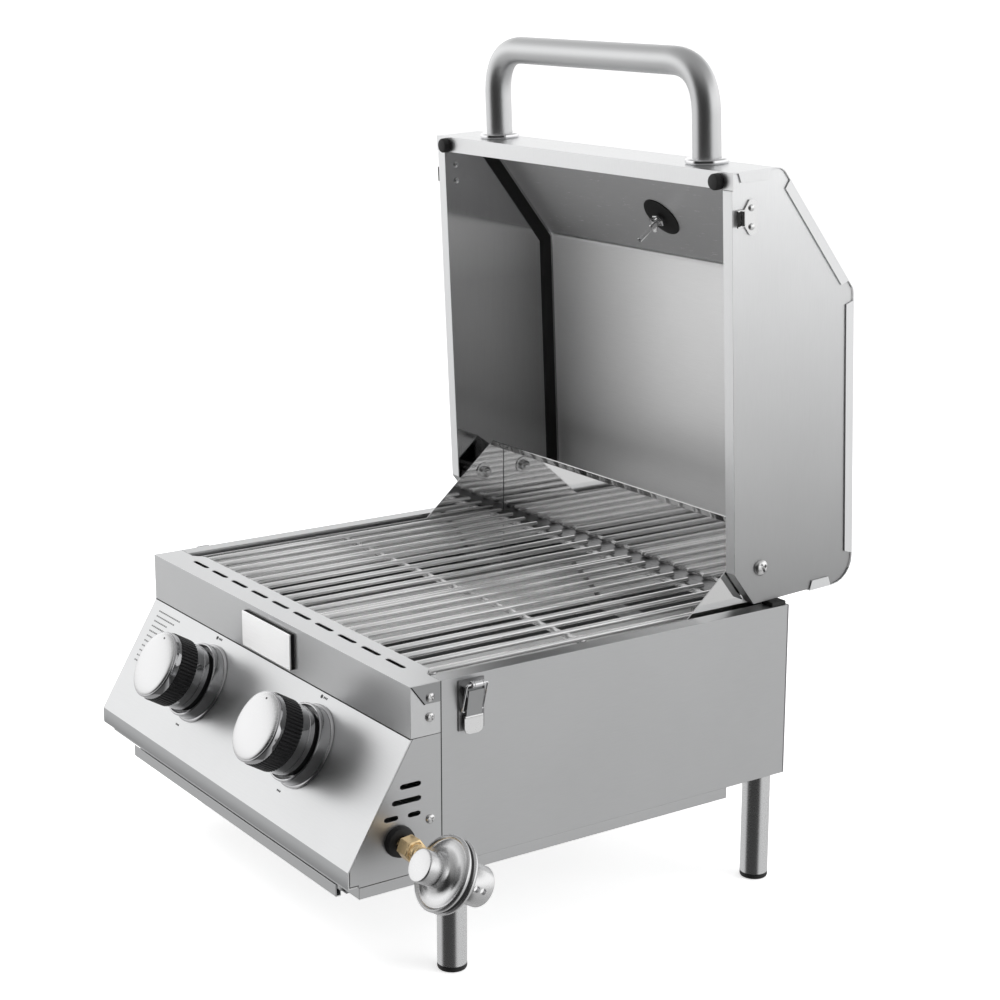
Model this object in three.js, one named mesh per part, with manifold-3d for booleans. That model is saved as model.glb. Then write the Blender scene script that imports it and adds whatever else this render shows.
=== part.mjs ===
// Portable two-burner tabletop gas grill, lid open. Millimetres.
// x runs to the right, y to the back and z up. While it is built, x = 0 is the middle of the body,
// y = 0 the front of the cap rail and z = 0 the floor; the last lines put the origin at the centre of
// the underside of the whole box.
import * as THREE from "three";
import { mergeVertices } from "three/addons/utils/BufferGeometryUtils.js";
import Module from "manifold-3d";

const wasm = await Module();
wasm.setup();

// ---------- driving dimensions ----------
const GAP = 0.3; // clearance between touching pieces
const SHEET = 1.2; // body sheet thickness
const BODY_HALF_W = 235;
const BODY_DEPTH = 399.5;
const BODY_TOP = 262.5;
const BODY_BOTTOM = 102.3;
const LEDGE_W = 15.5; // width of the firebox's top side ledges
const CAP_DEPTH = 28.8;
const CAP_BOTTOM = 218.5;
const CAP_SLOTS = { count: 10, pitch: 39.4, length: 29, width: 4.5, y: 21.9 };
const PANEL_FOOT_Y = -60.2; // front of the control panel's lower edge
const PANEL_FOOT_Z = 118;
const PANEL_FLANGE_Z = 103.3;
const LINER_HALF_W = 214;
const LINER_FRONT_Y = 31;
const LINER_REAR_Y = 395;
const LINER_TOP = 259.5;
const COVER_STRIP = { halfW: 213.7, corner: 12, rear: 38.7, top: 261.6 }; // over the grates' front ends
const FLOOR_Z = 134.5;
const UPSTAND = { top: 320.5, lipY: 380.5, lipZ: 331 }; // rear wall above the grates
const EAR_START_Y = 299; // where the hinge ears rise from the side walls
const PAN = { front: -50, rear: 332, bottom: 92.4, top: 102.3 };
const DRAIN = { y: 150, r: 11, wall: 1.4 };
const TRAY = { halfW: 189, front: -44, rear: 322, bottom: 80.2, top: 91 };
const TRAY_LIP = { halfW: 193.5, y: -48, bottom: 78.7, top: 89.3 };
const LEG_R = 12.7;
const LEG_X = 219;
const FRONT_LEG_Y = 48.5;
const REAR_LEG_Y = 381;
const FRONT_LEG_PIVOT_Z = 76.5;
const REAR_LEG_PIVOT_Z = 110.5;
const LEG_ABOVE_PIVOT = 4;
const KNOB_XS = { left: -90, right: 104.7 };
const KNOB_DOWN_PANEL = 48.1; // from the panel's top edge to the knob axis
const KNOB = { skirtR: 31.5, gripR: 32.2, faceR: 31, bottom: 8, height: 57.9 };
const BEZEL = { r: 37.6, inner: 32.8, height: 13.3 };
const STEM_R = 3;
const INLET = { y: -12.4, z: 134.3 };
const BURNER_Z = 165;
const BURNER_R = 12.5;
const GRATE = { rodR: 2.5, pitch: 22, z: 257, front: 39.3, rear: 387 };
const GRATE_RODS = { left: { x: -205, count: 11 }, right: { x: 20.5, count: 9 } };
const GRATE_BARS_Y = [46, 198, 376];
const PIVOT = { y: 370, z: 300 };
const LID_OPEN_DEG = 87.45;
const LID_SHEET = 1;
const LID = { halfW: 229.7, sideX: 228.2, rim: -29.5, front: 351.6, top: 108.5, back: -33.8 };
const LID_FOLD = 9; // width of the wrap's edge folded over the side panels
const HANDLE = { halfSpan: 160, reach: 86, bend: 45, r: 12.7, wall: 1.4 };
const THERMO = { forward: 281.4, up: 76.2, r: 26 };
const KEEPER = { halfW: 15, tongueHalfW: 7.2, step: 2.4 };
const LATCH_Y = 57.5;
const LATCH_PIN = { x: 240.6, z: 250.2 };
const LEVER = { halfW: 7.4, tabHalfW: 9.1, top: 251.8, bend: 228.6, tabEnd: 213.5 };
const BAIL_FOOT = { x: 238.2, z: 233 };
const BAIL_HEAD = { x: 245.2, z: 257.4 };
const BAIL = { armY: 10.3, wireR: 1, rollerR: 2.9 };
const REGULATOR = { x: 298, y: -32.4, z: 141.5, tiltDeg: 30 };

// ---------- materials ----------
function metal(color, roughness, metalness = 1) {
  return new THREE.MeshStandardMaterial({ color, roughness, metalness });
}
const steel = metal(0xc4c5c6, 0.35);
const mirrorSteel = metal(0xd0d0d0, 0.12);
const darkSteel = metal(0x77787a, 0.45);
const chrome = metal(0xdedede, 0.08);
const brass = metal(0xc9a46a, 0.25);
const zinc = metal(0xb9babb, 0.3);
const blackPlastic = metal(0x161616, 0.55, 0);

// ---------- solids ----------
function toSolid(geometry) {
  const g = geometry.clone();
  g.deleteAttribute("normal");
  g.deleteAttribute("uv");
  const merged = mergeVertices(g, 1e-4);
  const mesh = new wasm.Mesh({
    numProp: 3,
    vertProperties: merged.attributes.position.array,
    triVerts: new Uint32Array(merged.index.array),
  });
  return new wasm.Manifold(mesh);
}

function toGeometry(solid) {
  const m = solid.getMesh();
  const xyz = new Float32Array(m.numVert * 3);
  for (let i = 0; i < m.numVert; i++) {
    xyz.set(m.vertProperties.subarray(i * m.numProp, i * m.numProp + 3), i * 3);
  }
  const g = new THREE.BufferGeometry();
  g.setAttribute("position", new THREE.BufferAttribute(xyz, 3));
  g.setIndex(new THREE.BufferAttribute(new Uint32Array(m.triVerts), 1));
  g.computeVertexNormals();
  return g;
}

function join(first, ...others) {
  return toGeometry(others.reduce((sum, g) => sum.add(toSolid(g)), toSolid(first)));
}

function cut(body, ...tools) {
  return toGeometry(tools.reduce((left, g) => left.subtract(toSolid(g)), toSolid(body)));
}

function box([x0, x1], [y0, y1], [z0, z1]) {
  const g = new THREE.BoxGeometry(x1 - x0, y1 - y0, z1 - z0);
  return g.translate((x0 + x1) / 2, (y0 + y1) / 2, (z0 + z1) / 2);
}

const AXES = {
  x: new THREE.Matrix4().makeBasis(
    new THREE.Vector3(0, 1, 0), new THREE.Vector3(0, 0, 1), new THREE.Vector3(1, 0, 0)),
  y: new THREE.Matrix4().makeBasis(
    new THREE.Vector3(0, 0, 1), new THREE.Vector3(1, 0, 0), new THREE.Vector3(0, 1, 0)),
  z: new THREE.Matrix4(),
};

// An outline swept straight along one axis. Its points are [y, z] for x, [z, x] for y, [x, y] for z.
function prism(axis, outline, from, to, holes = []) {
  const shape = new THREE.Shape(outline.map(([u, v]) => new THREE.Vector2(u, v)));
  shape.holes = holes.map((hole) => new THREE.Path(hole.map(([u, v]) => new THREE.Vector2(u, v))));
  const g = new THREE.ExtrudeGeometry(shape, { depth: to - from, bevelEnabled: false });
  return g.translate(0, 0, from).applyMatrix4(AXES[axis]);
}

// A round solid about one axis, from [radius, distance along the axis] points.
function turned(axis, profile, sides = 24) {
  const points = profile.map(([r, h]) => new THREE.Vector2(r, h));
  const g = new THREE.LatheGeometry(points, sides);
  g.rotateX(Math.PI / 2);
  return g.applyMatrix4(AXES[axis]);
}

function rod(axis, r, from, to, sides = 24) {
  return turned(axis, [[0, from], [r, from], [r, to], [0, to]], sides);
}

function ring(axis, inner, outer, from, to, sides = 24) {
  const profile = [[inner, from], [outer, from], [outer, to], [inner, to], [inner, from]];
  return turned(axis, profile, sides);
}

// A bent sheet's cross-section: the line of its outer face, then the same line moved to its left.
function sheet(line, thickness) {
  const left = (a, b) => {
    const length = Math.hypot(b[0] - a[0], b[1] - a[1]);
    return [-(b[1] - a[1]) / length, (b[0] - a[0]) / length];
  };
  const inner = line.map((p, i) => {
    const n0 = left(line[Math.max(i - 1, 0)], line[Math.max(i, 1)]);
    const last = line.length - 1;
    const n1 = left(line[Math.min(i, last - 1)], line[Math.min(i + 1, last)]);
    const scale = thickness / (1 + n0[0] * n1[0] + n0[1] * n1[1]);
    return [p[0] + (n0[0] + n1[0]) * scale, p[1] + (n0[1] + n1[1]) * scale];
  });
  return [...line, ...inner.reverse()];
}

// The corner at b of a line a-b-c, replaced by an arc of radius r.
function rounded(a, b, c, r, steps = 4) {
  const u = new THREE.Vector2(a[0] - b[0], a[1] - b[1]).normalize();
  const v = new THREE.Vector2(c[0] - b[0], c[1] - b[1]).normalize();
  const half = Math.acos(u.dot(v)) / 2;
  const centre = u.clone().add(v).normalize().multiplyScalar(r / Math.sin(half));
  const start = u.clone().multiplyScalar(r / Math.tan(half)).sub(centre);
  const end = v.clone().multiplyScalar(r / Math.tan(half)).sub(centre);
  const turn = Math.atan2(start.x * end.y - start.y * end.x, start.dot(end));
  return Array.from({ length: steps + 1 }, (_, i) => {
    const p = start.clone().rotateAround(new THREE.Vector2(), (turn * i) / steps);
    return [b[0] + centre.x + p.x, b[1] + centre.y + p.y];
  });
}

// A slot with round ends, as an outline.
function slotOutline(u, v, length, width, steps = 4) {
  const r = width / 2;
  const arc = (cu, from) => Array.from({ length: steps + 1 }, (_, i) => {
    const angle = from + (Math.PI * i) / steps;
    return [cu + r * Math.cos(angle), v + r * Math.sin(angle)];
  });
  return [...arc(u + length / 2 - r, -Math.PI / 2), ...arc(u - length / 2 + r, Math.PI / 2)];
}

function circleOutline(u, v, r, sides = 24) {
  return Array.from({ length: sides }, (_, i) => {
    const angle = (2 * Math.PI * i) / sides;
    return [u + r * Math.cos(angle), v + r * Math.sin(angle)];
  });
}

function place(group, name, geometry, material) {
  const mesh = new THREE.Mesh(geometry, material);
  mesh.name = name;
  group.add(mesh);
  return mesh;
}

// Both sides of the body: the right-hand one is drawn, and the left-hand one is its mirror image.
function onBothSides(parent, build) {
  for (const side of ["right", "left"]) {
    const half = new THREE.Group();
    half.scale.x = side === "right" ? 1 : -1;
    parent.add(half);
    build(half, side);
  }
}

// ---------- firebox ----------
function sidePanel() {
  const inner = BODY_HALF_W - LEDGE_W;
  const line = [[252, inner], [BODY_TOP, inner], [BODY_TOP, BODY_HALF_W], [BODY_BOTTOM, BODY_HALF_W]];
  return prism("y", sheet(line, SHEET), CAP_DEPTH + GAP, BODY_DEPTH - SHEET - GAP);
}

function rearPanel() {
  const y = [BODY_DEPTH - SHEET, BODY_DEPTH];
  return box([-BODY_HALF_W, BODY_HALF_W], y, [BODY_BOTTOM, BODY_TOP]);
}

function linerSide() {
  const bottom = FLOOR_Z + SHEET + GAP;
  const front = LINER_FRONT_Y + SHEET + GAP;
  const rear = LINER_REAR_Y - GAP;
  const outline = [
    [front, bottom], [rear, bottom], [rear, UPSTAND.top], [UPSTAND.lipY, UPSTAND.lipZ],
    [EAR_START_Y, LINER_TOP], [front, LINER_TOP],
  ];
  const pivotHole = circleOutline(PIVOT.y, PIVOT.z, 3.5);
  return prism("x", outline, LINER_HALF_W - SHEET, LINER_HALF_W, [pivotHole]);
}

// A cross wall of the firebox, with the ledges that the flame tamers and the grates rest on.
function linerWall(line, y, reach) {
  const halfW = LINER_HALF_W - SHEET - GAP;
  const depth = [Math.min(y, y + reach), Math.max(y, y + reach)];
  const ledge = (z) => box([-halfW, halfW], depth, [z - SHEET, z]);
  const wall = prism("x", sheet(line, SHEET), -halfW, halfW);
  return join(wall, ledge(196), ledge(GRATE.z - GRATE.rodR - GAP));
}

// The front wall, with a strip along its top that covers the front ends of the grates.
function linerFront() {
  const bottom = FLOOR_Z + SHEET + GAP;
  const line = [[LINER_FRONT_Y + SHEET, bottom], [LINER_FRONT_Y + SHEET, COVER_STRIP.top - SHEET / 2]];
  const holes = Object.values(KNOB_XS).map((x) =>
    rod("y", BURNER_R + 2, LINER_FRONT_Y - 5, LINER_FRONT_Y + 5).translate(x, 0, BURNER_Z));
  const { halfW, corner, rear, top } = COVER_STRIP;
  const front = CAP_DEPTH + GAP;
  const strip = prism("z", [
    [-halfW, front], [halfW, front], [halfW - corner, rear], [corner - halfW, rear],
  ], top - SHEET, top);
  return cut(join(linerWall(line, LINER_FRONT_Y + SHEET / 2, 11.5), strip), ...holes);
}

function linerRear() {
  const bottom = FLOOR_Z + SHEET + GAP;
  const line = [
    [LINER_REAR_Y, bottom], [LINER_REAR_Y, UPSTAND.top], [UPSTAND.lipY + GAP, UPSTAND.lipZ],
  ];
  return linerWall(line.reverse(), LINER_REAR_Y + SHEET / 2, -14);
}

// The firebox floor with its drain spout, which empties into the drip tray.
function fireboxFloor() {
  const halfW = LINER_HALF_W;
  const y = [LINER_FRONT_Y, LINER_REAR_Y + SHEET];
  const plate = box([-halfW, halfW], y, [FLOOR_Z, FLOOR_Z + SHEET]);
  const spout = rod("z", DRAIN.r + DRAIN.wall, PAN.bottom - 0.5, FLOOR_Z + SHEET / 2);
  const bore = rod("z", DRAIN.r, PAN.bottom - 5, FLOOR_Z + 10);
  return cut(join(plate, spout.translate(0, DRAIN.y, 0)), bore.translate(0, DRAIN.y, 0));
}

function frontCap() {
  const outer = box([-BODY_HALF_W, BODY_HALF_W], [0, CAP_DEPTH], [CAP_BOTTOM, BODY_TOP]);
  const innerW = BODY_HALF_W - SHEET;
  const hollow = box([-innerW, innerW], [SHEET, CAP_DEPTH + 5], [CAP_BOTTOM - 5, BODY_TOP - SHEET]);
  const slots = [];
  for (let i = 0; i < CAP_SLOTS.count; i++) {
    const x = (i - (CAP_SLOTS.count - 1) / 2) * CAP_SLOTS.pitch;
    const outline = slotOutline(x, CAP_SLOTS.y, CAP_SLOTS.length, CAP_SLOTS.width, 3);
    slots.push(prism("z", outline, BODY_TOP - 5, BODY_TOP + 5));
  }
  return cut(outer, hollow, ...slots);
}

// ---------- controls ----------
const PANEL_TOP = [0.2, CAP_BOTTOM - GAP];
const PANEL_RUN = Math.hypot(PANEL_FOOT_Y - PANEL_TOP[0], PANEL_FOOT_Z - PANEL_TOP[1]);
const PANEL_DOWN = [
  (PANEL_FOOT_Y - PANEL_TOP[0]) / PANEL_RUN,
  (PANEL_FOOT_Z - PANEL_TOP[1]) / PANEL_RUN,
];
const PANEL_TILT = Math.acos(-PANEL_DOWN[0]); // from straight up to the panel's outward normal

// A frame on the panel at a knob: its z axis points straight out of the panel.
function knobFrame(x) {
  const frame = new THREE.Group();
  const y = PANEL_TOP[0] + PANEL_DOWN[0] * KNOB_DOWN_PANEL;
  const z = PANEL_TOP[1] + PANEL_DOWN[1] * KNOB_DOWN_PANEL;
  frame.position.set(x, y, z);
  frame.rotation.x = PANEL_TILT;
  frame.updateMatrix();
  return frame;
}

function controlPanel() {
  const line = [
    PANEL_TOP, [PANEL_FOOT_Y, PANEL_FOOT_Z], [PANEL_FOOT_Y, PANEL_FLANGE_Z],
    [PANEL_FOOT_Y + 9, PANEL_FLANGE_Z],
  ];
  const body = prism("x", sheet(line, SHEET), -BODY_HALF_W, BODY_HALF_W);
  const holes = Object.values(KNOB_XS).map((x) =>
    rod("z", 8, -10, 10).applyMatrix4(knobFrame(x).matrix));
  return cut(body, ...holes);
}

function controlSide(side) {
  const inset = SHEET + 2 * GAP;
  const bottom = PAN.top + 0.5;
  const outline = [
    [CAP_DEPTH, bottom], [CAP_DEPTH, CAP_BOTTOM - GAP], [PANEL_TOP[0] + inset, CAP_BOTTOM - GAP],
    [PANEL_FOOT_Y + inset, PANEL_FOOT_Z + 0.4], [PANEL_FOOT_Y + inset, PANEL_FLANGE_Z + inset],
    [PANEL_FOOT_Y + 10, PANEL_FLANGE_Z + inset], [PANEL_FOOT_Y + 10, bottom],
  ];
  const slots = [
    slotOutline(-0.6, 179.5, 20.4, 4.5, 3), slotOutline(-4.4, 167, 28, 4.5, 3),
    slotOutline(2.6, 154, 12.4, 4.2, 3), slotOutline(-19.2, 154.4, 13.6, 4.2, 3),
  ];
  const inlet = circleOutline(INLET.y, INLET.z, 10.5);
  const holes = side === "right" ? [...slots, inlet] : slots;
  return prism("x", outline, BODY_HALF_W - SHEET, BODY_HALF_W, holes);
}

function bezel() {
  const { r, inner, height } = BEZEL;
  const profile = [
    [inner, GAP], [r, GAP], [r, 2.5], [r - 1.2, 4], [r - 2, height - 1], [r - 3, height],
    [inner, height], [inner, GAP],
  ];
  return turned("z", profile, 36);
}

// The knob is hollow below, with a boss that takes the valve stem.
function knob() {
  const { skirtR, gripR, faceR, bottom, height } = KNOB;
  const outside = [
    [0, bottom + 12], [7, bottom + 12], [7, height - 9], [skirtR - 2.5, height - 9],
    [skirtR - 2.5, bottom], [skirtR, bottom], [skirtR - 1, 29], [gripR, 29.5], [gripR, 46.6],
    [faceR, 47], [faceR, 53.6], [faceR - 1.5, 54.6], [faceR * 0.6, height - 0.9], [0, height],
  ];
  const bore = rod("z", STEM_R + GAP, bottom, bottom + 24, 16);
  return cut(turned("z", outside, 36), bore);
}

function valveStem() {
  return rod("z", STEM_R, -18, KNOB.bottom + 23.5, 16);
}

// A valve: a round body on the knob's axis, a saddle on the gas pipe, and the jet that feeds a burner.
function gasValve(x) {
  const barrel = rod("z", 9, -37, -8, 20).applyMatrix4(knobFrame(x).matrix);
  const saddle = box([x - 7, x + 7], [INLET.y - 7, 6], [INLET.z - 9, 158]);
  const pipe = rod("x", 6.5 + GAP, x - 20, x + 20).translate(0, INLET.y, INLET.z);
  const jet = rod("y", 4, -6, 16, 12).translate(x, 0, BURNER_Z);
  const bore = rod("z", STEM_R + GAP, -22, 0, 16).applyMatrix4(knobFrame(x).matrix);
  return cut(join(barrel, saddle, jet), pipe, bore);
}

function gasPipe() {
  const tube = ring("x", 4.6, 6.5, KNOB_XS.left - 14, BODY_HALF_W - 16, 20);
  return tube.translate(0, INLET.y, INLET.z);
}

// ---------- cooking parts ----------
// A straight tube burner with a bell mouth over the valve's jet and a closed far end.
function burner(x) {
  const r = BURNER_R;
  const inside = r - SHEET;
  const end = LINER_REAR_Y - GAP;
  const profile = [
    [0, end - SHEET], [inside, end - SHEET], [inside, 44], [inside - 2.5, 26], [inside, 12],
    [r, 12], [r - 2.5, 26], [r, 44], [r, end], [0, end],
  ];
  return turned("y", profile, 20).translate(x, 0, BURNER_Z);
}

function flameTamer(x) {
  const line = [[196.3, -48], [204, -42], [226, 0], [204, 42], [196.3, 48]];
  const roof = prism("y", sheet(line.reverse(), SHEET), LINER_FRONT_Y + 3, LINER_REAR_Y - 3);
  return roof.translate(x, 0, 0);
}

// Round rods from front to back, welded onto three cross bars below them.
function grate({ x, count }) {
  const { rodR, pitch, z, front, rear } = GRATE;
  const width = (count - 1) * pitch;
  const rods = Array.from({ length: count }, (_, i) =>
    rod("y", rodR, front, rear, 8).translate(x + i * pitch, 0, z));
  const bars = GRATE_BARS_Y.map((y) =>
    rod("x", rodR, x - rodR, x + width + rodR, 8).translate(0, y, z - rodR - 1.3));
  return join(...bars, ...rods);
}

// ---------- base ----------
function basePan() {
  const w = BODY_HALF_W;
  const outer = box([-w, w], [PAN.front, PAN.rear], [PAN.bottom, PAN.top]);
  const hollow = box([SHEET - w, w - SHEET], [PAN.front + SHEET, PAN.rear - SHEET],
    [PAN.bottom + SHEET, PAN.top + 5]);
  const drain = rod("z", DRAIN.r + DRAIN.wall + 2, PAN.bottom - 5, PAN.top + 5);
  return cut(outer, hollow, drain.translate(0, DRAIN.y, 0));
}

function trayRail() {
  const inner = TRAY.halfW - 6;
  const outer = TRAY.halfW + 3;
  const top = PAN.bottom - GAP;
  const foot = TRAY_LIP.bottom;
  const outline = [
    [foot, inner], [foot, outer + SHEET], [top, outer + SHEET], [top, outer],
    [foot + SHEET, outer], [foot + SHEET, inner],
  ];
  return prism("y", outline, -38, TRAY.rear + 4);
}

function dripTray() {
  const { halfW, front, rear, bottom, top } = TRAY;
  const outer = box([-halfW, halfW], [front, rear], [bottom, top]);
  const hollow = box([1 - halfW, halfW - 1], [front + 1, rear - 1], [bottom + 1, top + 5]);
  const lip = [
    [front + 1, TRAY_LIP.bottom], [front + 1, bottom + 3], [front, bottom + 3],
    [front, TRAY_LIP.bottom + 1], [TRAY_LIP.y + 1, TRAY_LIP.bottom + 1],
    [TRAY_LIP.y + 1, TRAY_LIP.top], [TRAY_LIP.y, TRAY_LIP.top], [TRAY_LIP.y, TRAY_LIP.bottom],
  ];
  return join(cut(outer, hollow), prism("x", lip, -TRAY_LIP.halfW, TRAY_LIP.halfW));
}

// The channel across the back that carries the rear legs.
function rearCrossmember() {
  const z = REAR_LEG_PIVOT_Z + 15.3;
  const y = [REAR_LEG_Y - 17, REAR_LEG_Y + 16.4];
  const halfW = BODY_HALF_W - SHEET - GAP;
  const outer = box([-halfW, halfW], y, [z, z + 8]);
  const hollow = box([-halfW - 1, halfW + 1], [y[0] + SHEET, y[1] - SHEET], [z + SHEET, z + 20]);
  return cut(outer, hollow);
}

// A U bracket that straddles a leg. Its frame is the leg's pivot, with the pivot bolt along `axis`.
function legBracket(axis, height) {
  const half = LEG_R + 1.8;
  const wide = [-half, half];
  const narrow = [-LEG_R + 1, LEG_R - 1];
  const z = [-7.5, height];
  const clear = [-half + SHEET, half - SHEET];
  const along = axis === "x";
  const outer = along ? box(wide, narrow, z) : box(narrow, wide, z);
  const slot = [-half - 5, half + 5];
  const under = [-20, height - SHEET];
  const hollow = along ? box(clear, slot, under) : box(slot, clear, under);
  const bolt = rod(axis, 3, -half - 1.2, half + 1.2, 16);
  return join(cut(outer, hollow), bolt);
}

// A leg tube with its foot cap, about its pivot.
function leg(axis, pivotZ) {
  const r = LEG_R;
  const bore = r - 1.5;
  const profile = [
    [0, -pivotZ], [r - 2, -pivotZ], [r, 1.5 - pivotZ], [r, LEG_ABOVE_PIVOT],
    [bore, LEG_ABOVE_PIVOT], [bore, 6 - pivotZ], [0, 6 - pivotZ],
  ];
  return cut(turned("z", profile), rod(axis, 3 + GAP, -20, 20, 16));
}

// ---------- lid, drawn closed about its hinge axis ----------
const forward = (a, b) => [-a, b]; // a: distance in front of the hinge axis, b: height above it
const LID_LINE = [
  forward(LID.front - 15, LID.rim),
  forward(LID.front, LID.rim),
  ...rounded(forward(LID.front, LID.rim), forward(LID.front, 26.3), forward(235.9, LID.top), 12),
  ...rounded(forward(LID.front, 26.3), forward(235.9, LID.top), forward(0, LID.top), 12),
  ...rounded(forward(0, LID.top), forward(LID.back, LID.top), forward(LID.back, 0), 24, 6),
  forward(LID.back, 57),
];

// The point at distance `t` along the lid's outer line between two of its corners, moved inwards.
function foldStrip(a, b, fromA, fromB) {
  const d = new THREE.Vector2(b[0] - a[0], b[1] - a[1]);
  const length = d.length();
  d.normalize();
  const n = new THREE.Vector2(d.y, -d.x);
  const at = (t, inwards) => [a[0] + d.x * t + n.x * inwards, a[1] + d.y * t + n.y * inwards];
  const outline = [
    at(fromA, 0), at(fromA + 3, LID_FOLD), at(length - fromB - 3, LID_FOLD), at(length - fromB, 0),
  ];
  return prism("x", outline.reverse(), LID.sideX + GAP, LID.halfW);
}

function lidWrap() {
  const wrap = prism("x", sheet(LID_LINE.map(([y, z]) => [y, z]).reverse(), LID_SHEET),
    -LID.halfW, LID.halfW);
  const corner = forward(LID.front, 26.3);
  const crest = forward(235.9, LID.top);
  const strips = [
    foldStrip(forward(LID.front, LID.rim), corner, 6, 14),
    foldStrip(corner, crest, 14, 10),
    foldStrip(crest, forward(LID.back, LID.top), 10, 26),
    foldStrip(forward(LID.back, LID.top), forward(LID.back, 57), 26, 0),
  ];
  const mirrored = strips.map((s) => {
    const g = toSolid(s).mirror([1, 0, 0]);
    return toGeometry(g);
  });
  const axis = new THREE.Vector3(0, -(LID.top - 26.3), LID.front - 235.9).normalize();
  const hole = rod("z", 7, -10, 10).applyMatrix4(thermoFrame(axis).matrix);
  return cut(join(wrap, ...strips, ...mirrored), hole);
}

function lidSide() {
  const t = LID_SHEET + GAP;
  const inset = sheet(LID_LINE.slice(1).reverse(), t).slice(LID_LINE.length - 1);
  const outline = [
    ...inset.slice(1), forward(LID.back + t, -8), forward(-1.7, LID.rim),
    forward(LID.front - 15.6, LID.rim), forward(LID.front - 15.6, LID.rim + t),
    forward(LID.front - t, LID.rim + t),
  ];
  const hole = circleOutline(0, 0, 3.5);
  const plate = prism("x", outline, LID.sideX - LID_SHEET, LID.sideX, [hole]);
  const rimLine = [
    forward(LID.front - 15.6, LID.rim), forward(-1.2, LID.rim), forward(LID.back + t, -8),
  ];
  const flange = prism("x", sheet(rimLine, LID_SHEET), LID.sideX - 12, LID.sideX);
  return join(plate, flange);
}

function lidHandle() {
  const { halfSpan, reach, bend, r, wall } = HANDLE;
  const foot = -LID.front - 1.5;
  const top = -LID.front - reach;
  const v = (x, y) => new THREE.Vector3(x, y, 0);
  const path = new THREE.CurvePath();
  path.add(new THREE.LineCurve3(v(-halfSpan, foot), v(-halfSpan, top + bend)));
  path.add(new THREE.QuadraticBezierCurve3(v(-halfSpan, top + bend), v(-halfSpan, top),
    v(bend - halfSpan, top)));
  path.add(new THREE.LineCurve3(v(bend - halfSpan, top), v(halfSpan - bend, top)));
  path.add(new THREE.QuadraticBezierCurve3(v(halfSpan - bend, top), v(halfSpan, top),
    v(halfSpan, top + bend)));
  path.add(new THREE.LineCurve3(v(halfSpan, top + bend), v(halfSpan, foot)));
  const section = new THREE.Shape(circleOutline(0, 0, r, 16).map(([a, b]) => new THREE.Vector2(a, b)));
  const inside = circleOutline(0, 0, r - wall, 12).map(([a, b]) => new THREE.Vector2(a, b));
  section.holes = [new THREE.Path(inside)];
  return new THREE.ExtrudeGeometry(section, { steps: 40, extrudePath: path, bevelEnabled: false });
}

// A frame on the sloped face of the lid whose z axis points out of it.
function thermoFrame(axis) {
  const frame = new THREE.Group();
  const slope = (LID.top - 26.3) / (LID.front - 235.9);
  const up = LID.top - (THERMO.forward - 235.9) * slope;
  frame.position.set(0, -THERMO.forward, up);
  frame.quaternion.setFromUnitVectors(new THREE.Vector3(0, 0, 1), axis);
  frame.updateMatrix();
  return frame;
}

// The thermometer: an open-faced housing outside, a threaded stem, a washer plate and probe inside.
function thermometer() {
  const { r } = THERMO;
  const inside = -LID_SHEET - GAP;
  const profile = [
    [0, 5], [r - 3, 5], [r - 3, 12], [r, 12], [r, GAP], [6.5, GAP], [6.5, inside], [21.5, inside],
    [21.5, inside - 4], [7, inside - 4], [7, inside - 12], [2.5, inside - 12], [2.5, inside - 34],
    [0, inside - 34],
  ];
  return turned("z", profile.reverse());
}

function thermoPointer() {
  return join(rod("z", 3, 5 + GAP, 7.5, 16), box([-1.2, 1.2], [-6, 18], [5.6, 6.8]));
}

function pivotScrew() {
  const sleeve = [
    [0, LINER_HALF_W - 4], [3.2, LINER_HALF_W - 4], [3.2, LINER_HALF_W + GAP],
    [6, LINER_HALF_W + GAP], [6, LID.sideX - LID_SHEET - GAP], [3.2, LID.sideX - LID_SHEET - GAP],
    [3.2, LID.sideX + GAP], [7.5, LID.sideX + GAP], [6.6, LID.sideX + 3.4], [0, LID.sideX + 4.4],
  ];
  return turned("x", sleeve).translate(0, PIVOT.y, PIVOT.z);
}

// The keeper: a riveted plate with a narrower tongue, stepped out from the lid to a small lip.
function keeper() {
  const x = LID.sideX + 0.5;
  const out = x + KEEPER.step;
  const tongue = KEEPER.tongueHalfW;
  const line = [
    [LID.rim + 14, x + 0.6], [LID.rim + 11.5, out], [LID.rim + 4.4, out], [LID.rim + 2.4, out + 2.2],
  ];
  const hook = prism("y", sheet(line, SHEET), -tongue, tongue);
  const w = KEEPER.halfW;
  const plate = prism("x", [
    [-tongue, LID.rim + 12.5], [tongue, LID.rim + 12.5], [w, LID.rim + 18], [w, LID.rim + 23],
    [w - 3, LID.rim + 26.5], [3 - w, LID.rim + 26.5], [-w, LID.rim + 23], [-w, LID.rim + 18],
  ], x, x + SHEET);
  return join(plate, hook).translate(0, LATCH_Y - PIVOT.y, 0);
}

// ---------- latch, right-hand one ----------
function latchBase() {
  const back = BODY_HALF_W + GAP;
  const plate = box([back, back + 0.8], [-12.5, 12.5], [216, 259]);
  const cheekY = LEVER.halfW + GAP + 0.6;
  const cheek = (y) => box([back, 243], [y - 0.6, y + 0.6], [246.5, 254]);
  const pinHole = rod("y", 1.9, -20, 20, 16).translate(LATCH_PIN.x, 0, LATCH_PIN.z);
  return cut(join(plate, cheek(-cheekY), cheek(cheekY)), pinHole).translate(0, LATCH_Y, 0);
}

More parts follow.
